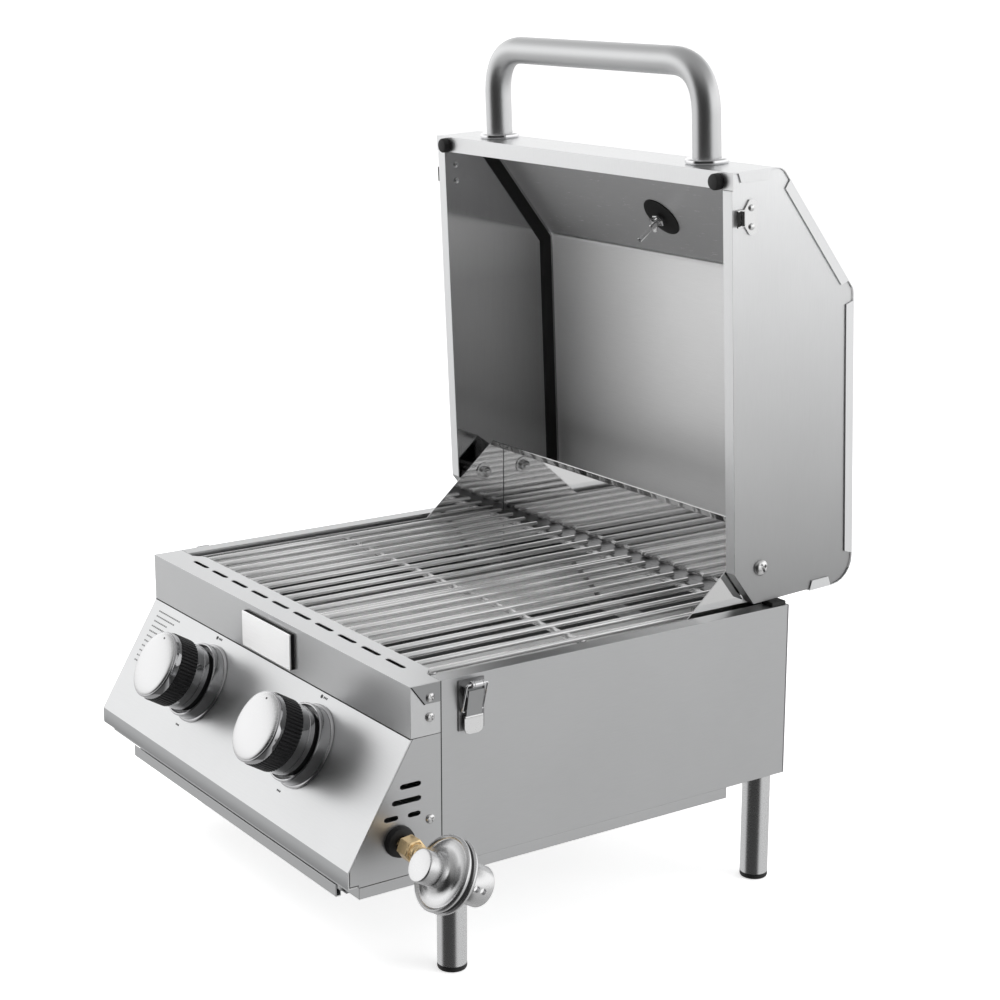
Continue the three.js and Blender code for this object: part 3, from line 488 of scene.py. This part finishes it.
def build_firebox():
    for side, s in SIDES:
        build_walls(side)
        build_side_details(side, s)
    dress("rear_panel", M["side"], "firebox", "satin_steel")
    dress("front_cap", M["cap"], "firebox", "satin_steel", 0.45)
    panel = dress("control_panel", [M["panel"], M["lip"]], "firebox", "satin_steel", 0.5)
    # Painted shade: the front-facing lip of the panel gets the darker copy.
    paint(panel, 1, lambda centre, normal: normal.y < -0.95)
    seam = rect(-SIDE_X + 0.4, SIDE_X - 0.4, -0.75, 0.25)
    plate("panel_seam", seam, panel_frame(0, 0), 0.02, 0.12, M["black_and_shade"], "firebox")
    dress("base_pan", M["side"], "firebox", "plain_steel", 0.3)
    front = dress("liner_front", [M["mirror"], M["cap"]], "firebox", "polished_steel")
    paint(front, 1, lambda centre, normal: centre.z > P(0, 0, 260).z)
    rear = dress("liner_rear", [M["mirror"], M["dark"]], "firebox", "polished_steel")
    paint(rear, 1, lambda centre, normal: normal.z > 0.6 and centre.z < P(0, 0, 262).z)
    dress("firebox_floor", M["tamer"], "firebox", "plain_steel")
    dress("rear_crossmember", M["dark"], "firebox", "plain_steel")
    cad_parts["gas_pipe"].data.materials[0] = M["dark"]
    dress("drip_tray", M["side"], "drip_tray", "plain_steel", 0.35)


def build_badge():
    """A plain plate on a dark backing, on the cap rail's front."""
    width, low, high = 88.0, 223.4, 255.7
    thick, backing = 4.8, 3.2
    face = facing(P(0, 0, (low + high) / 2), (0, -1, 0))
    outline = rect(-width / 2, width / 2, (low - high) / 2, (high - low) / 2)
    plate("badge_backing", outline, face, 0, backing, M["black_and_shade"], "firebox", 0.3)
    plate("badge_plate", outline, face, backing, thick, M["badge"], "firebox", 0.35)


# ---------------------------------------------------------------- controls
def knob_band(bm, matrix, low, high, inner, outer, ribs=60):
    """The gripping band: ribs that run along the knob's axis."""
    outline = []
    for i in range(ribs):
        for share, r in ((0.0, inner), (0.22, outer), (0.62, outer), (0.84, inner)):
            t = 2 * math.pi * (i + share) / ribs
            outline.append((r * math.cos(t), r * math.sin(t)))
    prism(bm, outline, matrix, low, high)


def build_knob(side, x):
    """The chrome bezel, and the knob's core, skirt, ribbed band, rim, domed face and mark."""
    at = panel_frame(x, KNOB_DOWN)
    body = f"knob_{side}"
    bezel = [(32.8, 0.35), (37.6, 0.35), (37.6, 1.4), (37.0, 1.9), (35.6, 2.3), (35.4, 11.4), (35.1, 12.6),
             (34.4, 13.2), (33.4, 13.2), (32.8, 12.6)]
    turned(f"bezel_ring_{side}", bezel, at, M["knob_chrome"], "firebox", "chrome", 128, True,
           replaces=[f"knob_bezel_{side}"])
    skirt = [(0, 15.0), (29, 15.0), (30.6, 15.3), (31.2, 16.0), (31.2, 20.4), (30.8, 20.9), (30.8, 21.5),
             (31.2, 22.0), (31.0, 28.4), (30.4, 29.1), (29, 29.3), (0, 29.3)]
    turned(f"knob_skirt_{side}", skirt, at, M["knob_chrome"], body, "chrome", 128)
    bm = bmesh.new()
    knob_band(bm, at, 29.3, 46.7, 31.3, 32.3)
    from_bmesh(f"knob_grip_{side}", bm, M["plastic"], body, "black_plastic", 30, 0.25, [f"knob_{side}"])
    rim = [(0, 46.5), (31.0, 46.5), (31.4, 47.0), (31.4, 52.6), (31.1, 53.5), (30.6, 54.0), (30.1, 54.1),
           (29.6, 53.9), (0, 53.9)]
    turned(f"knob_rim_{side}", rim, at, M["knob_chrome"], body, "chrome", 128)
    face_r, face_low, crown, steps = 29.9, 54.1, 3.7, 16
    swell = [(face_r * math.cos(t), face_low + crown * math.sin(t))
             for t in (math.pi / 2 * i / steps for i in range(steps))]
    dome = [(0, 53.9), (face_r, 53.9)] + swell + [(0, face_low + crown)]
    turned(f"knob_face_{side}", dome, at, M["face"], body, "satin_steel", 128, angle=50)
    plate(f"knob_mark_{side}", circle(0, 24.6, 1.0), at, 55.0, 56.4, M["ink"], body, 0.1)
    core = [(0, 8.2), (28.6, 8.2), (28.6, 15.1), (0, 15.1)]
    turned(f"knob_core_{side}", core, at, M["plastic"], body, "black_plastic", 64)


INK_LOW, INK_HIGH = 0.02, 0.14  # the printed marks, above the control panel


def dash(bm, matrix, x0, x1, y0, y1):
    prism(bm, rect(x0, x1, y0, y1), matrix, INK_LOW, INK_HIGH)


def build_marks():
    """Printed marks: by each knob a dot and dashes above, an arc and dashes below, and rows of dashes."""
    turns = [math.radians(a) for a in range(218, 244, 2)]
    for side, x in KNOB_XS.items():
        m = panel_frame(x, KNOB_DOWN)
        bm = bmesh.new()
        prism(bm, circle(-9.5, 43.6, 1.7), m, INK_LOW, INK_HIGH)
        for start in (-6.1, -3.9, -1.7):
            dash(bm, m, start, start + 1.3, 42.8, 44.6)
            dash(bm, m, start - 4.0, start - 2.6, -44.6, -43.0)
        prism(bm, arc(39.6, turns) + arc(40.8, turns)[::-1], m, INK_LOW, INK_HIGH)
        from_bmesh(f"panel_marks_{side}", bm, M["ink"], "firebox", None)
    bm = bmesh.new()
    m = panel_frame(-190, 0)
    for row, dashes in enumerate((13, 11, 8, 8, 6, 5, 5, 3, 3, 2, 2)):
        for i in range(dashes):
            x, y = 3.5 * i - 28.5 - 0.25 * row, -8.6 - 5.2 * row
            dash(bm, m, x, x + 2.4, y - 1.3, y)
    from_bmesh("panel_print", bm, M["print"], "firebox", None)


def build_regulator():
    """The cap, the ringed diaphragm housing and the cylinder socket with two holes, along one axis."""
    cap = [(0, 0), (11.9, 0), (12.9, 0.25), (13.45, 0.9), (13.65, 1.8), (13.65, 11.6), (13.2, 12), (0, 12)]
    turned("regulator_knob", cap, REGULATOR, M["cast"], "regulator_cap", "zinc", 96,
           replaces=["regulator_cap"])
    housing = [
        (0, 12.3), (13.0, 12.3), (13.0, 12.9), (13.65, 13.4), (13.65, 18.4), (14.8, 20.4), (17.4, 22.0),
        (21.4, 22.9), (25.6, 23.2), (26.9, 23.8), (27.7, 24.0), (28.3, 23.2), (29.6, 22.6), (30.9, 23.1),
        (31.6, 24.3), (31.5, 26.2), (30.4, 27.4), (29.9, 28.6), (30.3, 30.2), (31.4, 31.0), (31.7, 32.2),
        (31.2, 33.8), (29.6, 34.9), (26, 36.2), (21, 38.2), (17.4, 39.8), (15, 40.5), (0, 40.5),
    ]
    turned("regulator_shell", housing, REGULATOR, M["cast"], "firebox", "zinc", 96, angle=45,
           replaces=["regulator_body"])
    groove = [(29.0, 27.0), (30.5, 27.5), (30.5, 30.0), (29.0, 30.4)]
    turned("regulator_groove", groove, REGULATOR, M["black_and_shade"], "firebox", None, 96, True)
    socket = [(0, 40.8), (15.6, 40.8), (16.4, 41.6), (16.4, 46), (17, 47.2), (17, 64.6), (16.3, 66),
              (13.6, 66), (13.2, 65.4), (13.2, 46), (0, 46)]
    collar = turned("cylinder_collar", socket, REGULATOR, M["cast"], "firebox", "zinc", 96,
                    replaces=["cylinder_socket"])
    hole = [(0, 0), (2.9, 0), (2.9, 12), (0, 12)]
    outwards = Matrix.Rotation(math.radians(90), 4, "Y")
    for height in (49.5, 56.5):
        wall = Matrix.Translation(Vector((12, 0, height)) * MM)
        bm = bmesh.new()
        spin(bm, hole, REGULATOR @ Matrix.Rotation(math.radians(2), 4, "Z") @ wall @ outwards, 24)
        carve(collar, bm)


def build_inlet():
    """The brass fitting with its hexagon, and the rubber grommet where it leaves the control side."""
    at = facing(P(SIDE_X, -12.4, 134.3), (1, 0, 0))
    grommet = [(6.6, -2.5), (9.9, -2.5), (9.9, -0.2), (13.2, -0.2), (13.4, 1.6), (12.4, 5.6), (8.4, 7.2),
               (6.6, 7.2)]
    turned("inlet_grommet", grommet, at, M["rubber"], "firebox", None, 48, True)
    bm = bmesh.new()
    spin(bm, [(0, 12.0), (8.6, 12.0), (10.4, 13.0), (10.4, 25.6), (8.6, 26.6), (0, 26.6)],
         at @ Matrix.Rotation(0.1, 4, "Z"), 6)
    spin(bm, [(0, 26.2), (7.4, 26.2), (7.4, 31), (6.2, 32.2), (6.2, 46.6), (0, 46.6)], at, 32)
    spin(bm, [(0, -15.5), (5.2, -15.5), (5.2, 12.4), (0, 12.4)], at, 32)
    from_bmesh("inlet_union", bm, M["brass"], "firebox", "brass", 30, 0.35, ["inlet_fitting"])


# ---------------------------------------------------------------- cooking grates
ROD_R = 2.5
ROD_PITCH = 22.0
ROD_Z = 257.0
ROD_FRONT, ROD_REAR = 39.3, 387.0
CROSS_BARS_Y = (46, 198, 376)
GRATES = (("left", -205.0, 11), ("right", 20.5, 9))  # side, x of the first rod, number of rods


def rod_profile(low, high, nose):
    """A round rod from low to high whose ends are rounded over the length nose."""
    return [(0, low), (1.5, low + 0.4), (ROD_R, low + nose), (ROD_R, high - nose), (1.5, high - 0.4),
            (0, high)]


def build_grates():
    """Round rods over three cross bars, with a weld bead at each crossing."""
    backwards = Matrix.Rotation(math.radians(-90), 4, "X")
    sideways = Matrix.Rotation(math.radians(90), 4, "Y")
    bead = Matrix.Diagonal((1.0, 1.15, 0.62, 1))
    for side, x0, count in GRATES:
        bm = bmesh.new()
        xs = [x0 + i * ROD_PITCH for i in range(count)]
        rod = rod_profile(ROD_FRONT, ROD_REAR, 1.8)
        for x in xs:
            spin(bm, rod, Matrix.Translation(P(x, 0, ROD_Z)) @ backwards, 20)
        for y in CROSS_BARS_Y:
            at = Matrix.Translation(P(0, y, ROD_Z - ROD_R - 1.3)) @ sideways
            spin(bm, rod_profile(xs[0] - ROD_R, xs[-1] + ROD_R, 1.6), at, 20)
            for x in xs:
                weld = Matrix.Translation(P(x, y, ROD_Z - 2.3))
                bmesh.ops.create_uvsphere(bm, u_segments=12, v_segments=8, radius=3.1 * MM,
                                          matrix=weld @ bead)
        from_bmesh(f"grate_rods_{side}", bm, M["rod"], f"grate_{side}", "chrome", 45, None,
                   [f"cooking_grate_{side}"])


# ---------------------------------------------------------------- legs
LEG_X = 219
LEGS = (("front", 48.5, 80.5), ("rear", 381.0, 114.5))  # end, y, top of the tube


def build_legs():
    """Each leg's tube and its foot cap."""
    foot = [(0, 0), (10.8, 0), (12.1, 0.5), (12.75, 1.8), (12.75, 5.1), (11.1, 5.2), (11.1, 12), (0, 12)]
    for end, y, top in LEGS:
        pipe = [(11.2, 5.2), (12.7, 5.2), (12.7, top - 0.4), (12.3, top), (11.5, top), (11.2, top - 0.4)]
        for side, s in SIDES:
            at = Matrix.Translation(P(s * LEG_X, y, 0))
            body = f"leg_{end}_{side}"
            turned(f"leg_tube_{end}_{side}", pipe, at, M["tube"], body, "satin_steel", 96, True,
                   replaces=[body])
            turned(f"leg_foot_{end}_{side}", foot, at, M["rubber"], body, None, 64)


# ---------------------------------------------------------------- lid
RIM_BELOW = -0.0285  # metres up from the hinge, with the lid closed: below it lies the folded rim


def paint_wrap(wrap):
    """Folded edges get a sheet look of their own; the inner slope is painted darker, as painted shade, and
    the inner back brighter, as painted light.
    """
    inverse = LID.inverted()
    turn = inverse.to_3x3()

    def fold(centre, normal):
        local = inverse @ centre
        return (abs(normal.x) > 0.9 and abs(local.x) > 0.2285) or local.z < RIM_BELOW

    # Painted shade: the inner slope takes the darker copy of the sheet.
    def shaded_inner_slope(centre, normal):
        local, n = inverse @ centre, turn @ normal
        return n.z < -0.5 and n.y > 0.3 and local.z < 0.104 and -local.y > 0.236

    # Painted light: the inner back takes the brighter copy of the sheet.
    def lit_inner_back(centre, normal):
        return (turn @ normal).z < -0.9 and (inverse @ centre).z > 0.1

    for index, chosen in enumerate((fold, shaded_inner_slope, lit_inner_back), 1):
        paint(wrap, index, chosen)


def build_lid_side(side, s):
    """A side panel with its polished inside and rim, its bumper, and the hinge's screw head and bush."""
    inverse = LID.inverted()
    panel = dress(f"lid_side_{side}", [M["lid_side"], M["lid_wall"], M["edge"]], "lid", "satin_steel", 0.25)
    paint(panel, 1, lambda centre, normal: normal.x * s < -0.9 and abs(centre.x - ORIGIN.x) > 0.2)
    paint(panel, 2, lambda centre, normal: (inverse @ centre).z < RIM_BELOW)
    build_keeper(side, s)
    bumper = [(0, 0), (7.0, 0), (7.2, 1.0), (7.0, 5.6), (6.2, 6.8), (4.6, 7.3), (0, 7.4)]
    under_rim = facing(lid_point(s * 211, 343.1, -29.5), LID.to_3x3() @ Vector((0, 0, -1)))
    turned(f"lid_bumper_{side}", bumper, under_rim, M["rubber"], "lid", None, 48)
    outside = facing(P(s * 228.2, PIVOT_Y, PIVOT_Z), (s, 0, 0))
    screw_head = screw(f"hinge_screw_head_{side}", outside, "firebox", 7.5, 3.6)
    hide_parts(f"hinge_screw_{side}")
    between = facing(P(s * 214.4, PIVOT_Y, PIVOT_Z), (s, 0, 0))
    bush = [(0, 0), (6, 0), (6, 12.4), (0, 12.4)]
    turned(f"hinge_bush_{side}", bush, between, M["zinc"], "firebox", "chrome", 32)


def build_lid():
    """The wrap with its folded edges, the two side panels with polished insides, and what they carry."""
    wrap = dress("lid_wrap", [M["lid"], M["edge"], M["slope"], M["lid_back"]], "lid", "satin_steel", 0.35)
    paint_wrap(wrap)
    for side, s in SIDES:
        build_lid_side(side, s)
    build_handle()
    build_thermometer()
    build_shade_strip()


def block(bm, points):
    """Adds a box from its eight corners, the four of one face and then the four of the other."""
    v = [bm.verts.new(p) for p in points]
    for loop in ((0, 1, 2, 3), (4, 5, 6, 7), (0, 1, 5, 4), (1, 2, 6, 5), (2, 3, 7, 6), (3, 0, 4, 7)):
        bm.faces.new([v[i] for i in loop])


def build_keeper(side, s):
    """The catch plate with two rivets and a slotted tongue."""
    dress(f"keeper_{side}", M["zinc"], "lid", "chrome", 0.25)
    rivet = [(0, 0), (3.1, 0), (2.9, 0.9), (1.9, 1.6), (0, 1.9)]
    for i, forward in enumerate((304.5, 320.5)):
        out = facing(lid_point(s * 229.9, forward, -9.7), (s, 0, 0))
        turned(f"keeper_rivet_{side}_{i}", rivet, out, M["zinc"], "lid", "chrome", 24)
        inward = facing(lid_point(s * 227.2, forward, -9.7), (-s, 0, 0))
        turned(f"keeper_rivet_in_{side}_{i}", rivet, inward, M["zinc"], "lid", "chrome", 24)
    # Painted shade: black plates stand for the dark of the two slot openings.
    bm = bmesh.new()
    for low in (-26.6, -21.9):
        slot = rect(306.2, 318.8, low, low + 2.5)
        block(bm, [lid_point(s * x, forward, up) for x in (232.35, 232.55) for forward, up in slot])
    from_bmesh(f"keeper_slot_shade_{side}", bm, M["black_and_shade"], "lid", None)


def build_shade_strip():
    """A black strip on each side panel's inner face, along the wrap: painted shade in the corner where the
    wrap meets the side panel.
    """
    shift = 0.3186  # how far the bend moves back for each millimetre of inset
    edges = []
    for inset, front_up in ((4.0, 31.8), (17.0, 15.8)):
        up = LID_TOP - inset
        edges.append([(337.0, front_up), (LID_BEND - shift * inset, up), (-12.0, up)])
    for side, s in SIDES:
        bm = bmesh.new()
        sections = []
        for outer, inner in zip(*edges):
            corners = ((227.15, outer), (227.15, inner), (226.3, inner), (226.3, outer))
            sections.append([bm.verts.new(lid_point(s * x, *point)) for x, point in corners])
        for p, q in zip(sections, sections[1:]):
            for i in range(4):
                j = (i + 1) % 4
                bm.faces.new([p[i], p[j], q[j], q[i]])
        bm.faces.new(sections[0])
        bm.faces.new(sections[-1])
        from_bmesh(f"lid_shade_strip_{side}", bm, M["black_and_shade"], "lid", None, 30)


def build_handle():
    """The bent tube, with a washer at each foot."""
    span, top, bend, r, steps = 160.0, 437.6, 45.0, 12.7, 20
    foot = LID_FRONT + 0.5
    line = [(-span, foot)]
    line += [tuple(p) for p in quarter_bend((-span, top), (-span, top - bend), (bend - span, top), steps)]
    line += [tuple(p) for p in quarter_bend((span, top), (span - bend, top), (span, top - bend), steps)]
    line += [(span, foot)]
    points = [lid_point(x, forward, 0) for x, forward in line]
    tube("handle_tube", points, r, M["handle"], "lid", "satin_steel", ["lid_handle"], 20)
    washer = [(12.8, 0.2), (18.6, 0.2), (19.3, 1.0), (19.5, 2.4), (19.0, 3.8), (17.4, 4.8), (15.4, 5.0),
              (13.6, 4.2), (12.8, 2.6)]
    for side, s in SIDES:
        at = facing(lid_point(s * span, LID_FRONT, 0), LID.to_3x3() @ Vector((0, -1, 0)))
        turned(f"handle_washer_{side}", washer, at, M["chrome"], "lid", "chrome", 64, True)


def build_thermometer():
    """The gauge on the lid's slope, and its plate, wing nut and probe inside the lid."""
    drop, run = LID_TOP - LID_FRONT_TOP, LID_FRONT - LID_BEND
    forward = 281.4
    normal = LID.to_3x3() @ Vector((0, -drop, run)).normalized()
    at = facing(lid_point(0, forward, LID_TOP - (forward - LID_BEND) * drop / run), normal, (1, 0, 0))
    case = [(0, 0.3), (24.6, 0.3), (25.8, 1.2), (26, 2.4), (26, 11), (25.4, 11.9), (24.2, 12), (23.4, 11.4),
            (23, 9.8), (23, 5.6), (0, 5.6)]
    turned("thermometer_case", case, at, M["chrome"], "lid", "chrome", 96, replaces=["thermometer"])
    dial = [(0, 4.6), (22.9, 4.6), (22.9, 5.2), (0, 5.2)]
    turned("thermometer_dial", dial, at, M["dial"], "lid", "dial_case", 64)
    build_scale_and_hand(at)
    back = [(0, -1.4), (21.5, -1.4), (21.5, -2.2), (20.6, -2.6), (9, -3.4), (0, -3.4)]
    turned("thermometer_plate", back, at, M["black_and_shade"], "lid", None, 64)
    nut = at @ Matrix.Rotation(0.4, 4, "Z")
    bm = bmesh.new()
    spin(bm, [(0, -3.3), (6.2, -3.3), (7.2, -4.0), (7.2, -7.4), (6.4, -8.2), (0, -8.2)], nut, 6)
    wing = [(4.5, -1.4), (13.5, -2.6), (15.0, 0.0), (13.5, 2.6), (4.5, 1.4)]
    raised = Matrix.Rotation(math.radians(28), 4, "Y")
    for turn in (0.0, math.pi):
        prism(bm, wing, nut @ Matrix.Rotation(turn, 4, "Z") @ raised, -9.5, -7.6)
    from_bmesh("thermometer_nut", bm, M["zinc"], "lid", "chrome", 30, 0.3)
    probe = [(0, -8), (3.2, -8), (3.2, -17), (2.5, -17.6), (2.5, -34.6), (2.0, -35.3), (0, -35.3)]
    turned("thermometer_probe", probe, at, M["zinc"], "lid", "chrome", 32)


def build_scale_and_hand(at):
    """A scale of 25 marks, every fourth one long, and the pointer's hand."""
    bm = bmesh.new()
    for i in range(25):
        inner, half_w = (19.2, 0.28) if i % 4 else (17.4, 0.45)
        turn = Matrix.Rotation(math.radians(120 - i * 10), 4, "Z")
        prism(bm, rect(-half_w, half_w, inner, 21.2), at @ turn, 5.55, 5.72)
    from_bmesh("thermometer_scale", bm, M["ink"], "lid", None)
    bm = bmesh.new()
    prism(bm, [(-1.3, -6), (1.3, -6), (0.3, 18), (-0.3, 18)], at, 6.0, 6.7)
    spin(bm, [(0, 5.8), (2.8, 5.8), (2.8, 7.0), (2.2, 7.5), (0, 7.6)], at, 24)
    from_bmesh("thermometer_hand", bm, M["ink"], "pointer", "pointer_paint", 30, None,
               ["thermometer_pointer"])


# ---------------------------------------------------------------- latches
LATCH_Y = 57.5
BAIL_FOOT, BAIL_HEAD = (238.2, 233.0), (245.2, 257.4)  # x and z of the bail's lower and upper ends
BAIL_HALF_W = 10.3


def build_latches():
    """The hinged lever on its base, coloured dark as painted shade, and the wire bail with its roller."""
    (foot_x, foot_z), (head_x, head_z), w = BAIL_FOOT, BAIL_HEAD, BAIL_HALF_W
    half = [(foot_x, 6.3, foot_z), (foot_x, w - 0.8, foot_z), (foot_x + 0.2, w, foot_z + 1.0),
            (head_x - 0.3, w, head_z - 1.2), (head_x, w - 1.2, head_z)]
    line = half + [(x, -y, z) for x, y, z in reversed(half)]
    roller = [(0, 0), (2.6, 0), (2.9, 0.4), (2.9, 1.6), (2.3, 1.8), (2.3, 2.2), (2.9, 2.4), (2.9, 10.0),
              (2.3, 10.2), (2.3, 10.6), (2.9, 10.8), (2.9, 12), (2.6, 12.4), (0, 12.4)]
    for side, s in SIDES:
        body = f"bail_{side}"
        # Painted shade: the base plate takes the dark steel for the deep shadow it sits in.
        dress(f"latch_base_{side}", M["dark"], "firebox", "plain_steel", 0.2)
        lever = dress(f"latch_lever_{side}", [M["lever"], M["tab"]], f"lever_{side}", "satin_steel", 0.25)
        # Painted shade on the plate, painted highlight on the tab below it.
        paint(lever, 1, lambda centre, normal: centre.z < P(0, 0, 229.3).z)
        wire = [P(s * x, LATCH_Y + y, z) for x, y, z in line]
        tube(f"bail_wire_{side}", wire, 1.0, M["chrome"], body, "chrome", [f"latch_bail_{side}"], 6)
        at = facing(P(s * head_x, LATCH_Y - 6.2, head_z), (0, 1, 0))
        turned(f"bail_roller_{side}", roller, at, M["chrome"], body, "chrome", 32)


build_firebox()
build_badge()
for knob_side, knob_x in KNOB_XS.items():
    build_knob(knob_side, knob_x)
build_marks()
build_regulator()
build_inlet()
build_grates()
build_legs()
build_lid()
build_latches()


# ---------------------------------------------------------------- stage, light and camera
FLOOR_HALF = 14.0
FLOOR_DROP = 0.0004
FLOOR_GLOW = 0.72
ROOM_LEVEL = 1.2
BACKDROP_LEVEL = 1.3
DARK_SIDE = (0.53, -0.848, 0)
DARK_EDGE = [(0.45, 0.0), (0.68, 1.0)]  # how the dark zone begins, by the cosine to its middle
# Brightness by height of the direction: straight down at 0, the horizon at 0.5, straight up at 1.
ROOM_BY_HEIGHT = [(0.0, 0.35), (0.34, 0.52), (0.47, 0.85), (0.56, 1.0), (0.68, 0.95), (0.80, 0.45),
                  (1.0, 0.32)]
DARK_BY_HEIGHT = [(0.0, 0.12), (0.30, 0.04), (0.45, 0.02), (0.66, 0.03), (0.84, 0.22), (1.0, 0.32)]


def build_stage():
    """A wide pale floor, just below the feet."""
    bm = bmesh.new()
    bmesh.ops.create_grid(bm, x_segments=8, y_segments=8, size=FLOOR_HALF)
    mesh = bpy.data.meshes.new("floor")
    bm.to_mesh(mesh)
    bm.free()
    floor = bpy.data.objects.new("floor", mesh)
    bpy.context.scene.collection.objects.link(floor)
    floor.location = (0, 0, -FLOOR_DROP)
    m, tree, shader = new_material("pale_floor")
    shader.inputs["Roughness"].default_value = 0.9
    tone = ramp(tree, noise(tree, (1, 1, 1), 3.0), [(0.3, 0.90), (0.7, 0.92)])
    tree.links.new(tone, shader.inputs["Base Color"])
    tree.links.new(tone, shader.inputs["Emission Color"])
    shader.inputs["Emission Strength"].default_value = FLOOR_GLOW
    mesh.materials.append(m)
    floor.visible_glossy = False


# Name, position, target, size in metres and power.
LIGHTS = (
    ("key", (-900, -700, 1900), (0, 150, 250), (1.6, 1.6), 26),
    ("top", (200, 500, 2100), (0, 250, 300), (2.2, 1.6), 18),
    ("right_back", (1500, 1300, 900), (230, 300, 350), (1.2, 1.0), 9),
)


def area(name, position, target, size, energy):
    """A soft light from a position towards a target that no camera or polished sheet sees."""
    light = bpy.data.lights.new(name, "AREA")
    light.shape = "RECTANGLE"
    light.size, light.size_y = size
    light.energy = energy
    o = bpy.data.objects.new(name, light)
    bpy.context.scene.collection.objects.link(o)
    o.matrix_world = facing(Vector(position), Vector(position) - Vector(target))
    o.visible_camera = False
    o.visible_glossy = False


def build_world():
    """A pale room with a dark zone on one side, so that bright metal has something to mirror."""
    world = bpy.data.worlds.new("room")
    bpy.context.scene.world = world
    world.use_nodes = True
    tree = world.node_tree
    tree.nodes.clear()
    coords = add(tree, "ShaderNodeTexCoord")
    flat = add(tree, "ShaderNodeVectorMath", operation="MULTIPLY")
    flat.inputs[1].default_value = (1, 1, 0)
    tree.links.new(coords.outputs["Generated"], flat.inputs[0])
    unit = add(tree, "ShaderNodeVectorMath", operation="NORMALIZE")
    tree.links.new(flat.outputs[0], unit.inputs[0])
    dot = add(tree, "ShaderNodeVectorMath", operation="DOT_PRODUCT")
    dot.inputs[1].default_value = DARK_SIDE
    tree.links.new(unit.outputs[0], dot.inputs[0])
    split = add(tree, "ShaderNodeSeparateXYZ")
    tree.links.new(coords.outputs["Generated"], split.inputs[0])
    height = add(tree, "ShaderNodeMapRange")
    height.inputs["From Min"].default_value = -1.0
    tree.links.new(split.outputs["Z"], height.inputs["Value"])
    bright = ramp(tree, height.outputs["Result"], ROOM_BY_HEIGHT)
    dark = ramp(tree, height.outputs["Result"], DARK_BY_HEIGHT)
    mix = add(tree, "ShaderNodeMix", data_type="RGBA")
    tree.links.new(ramp(tree, dot.outputs["Value"], DARK_EDGE), mix.inputs["Factor"])
    tree.links.new(bright, mix.inputs["A"])
    tree.links.new(dark, mix.inputs["B"])
    background = add(tree, "ShaderNodeBackground", Strength=ROOM_LEVEL)
    tree.links.new(mix.outputs["Result"], background.inputs["Color"])
    white = add(tree, "ShaderNodeBackground", Strength=BACKDROP_LEVEL)
    white.inputs["Color"].default_value = (1, 1, 1, 1)
    path = add(tree, "ShaderNodeLightPath")
    choose = add(tree, "ShaderNodeMixShader")
    tree.links.new(path.outputs["Is Camera Ray"], choose.inputs["Fac"])
    tree.links.new(background.outputs[0], choose.inputs[1])
    tree.links.new(white.outputs[0], choose.inputs[2])
    out = add(tree, "ShaderNodeOutputWorld")
    tree.links.new(choose.outputs[0], out.inputs["Surface"])


CAMERA_AT = (1613.5, -849.8, 829.5)
CAMERA_DOWN, CAMERA_TURN = 14.33, 55.82  # degrees below the horizon, and from the back towards the left
CAMERA_LENS, CAMERA_SENSOR = 77.37, 36.0


def build_camera():
    cam = bpy.data.cameras.new("camera")
    cam.sensor_width = CAMERA_SENSOR
    cam.lens = CAMERA_LENS
    cam.clip_end = 60
    o = bpy.data.objects.new("camera", cam)
    bpy.context.scene.collection.objects.link(o)
    o.location = P(*CAMERA_AT)
    o.rotation_euler = (math.radians(90 - CAMERA_DOWN), 0, math.radians(CAMERA_TURN))
    bpy.context.scene.camera = o


build_stage()
build_world()
for light_name, light_at, light_to, light_size, watts in LIGHTS:
    area(light_name, P(*light_at), P(*light_to), light_size, watts)
build_camera()
bpy.context.scene.view_settings.view_transform = "Standard"
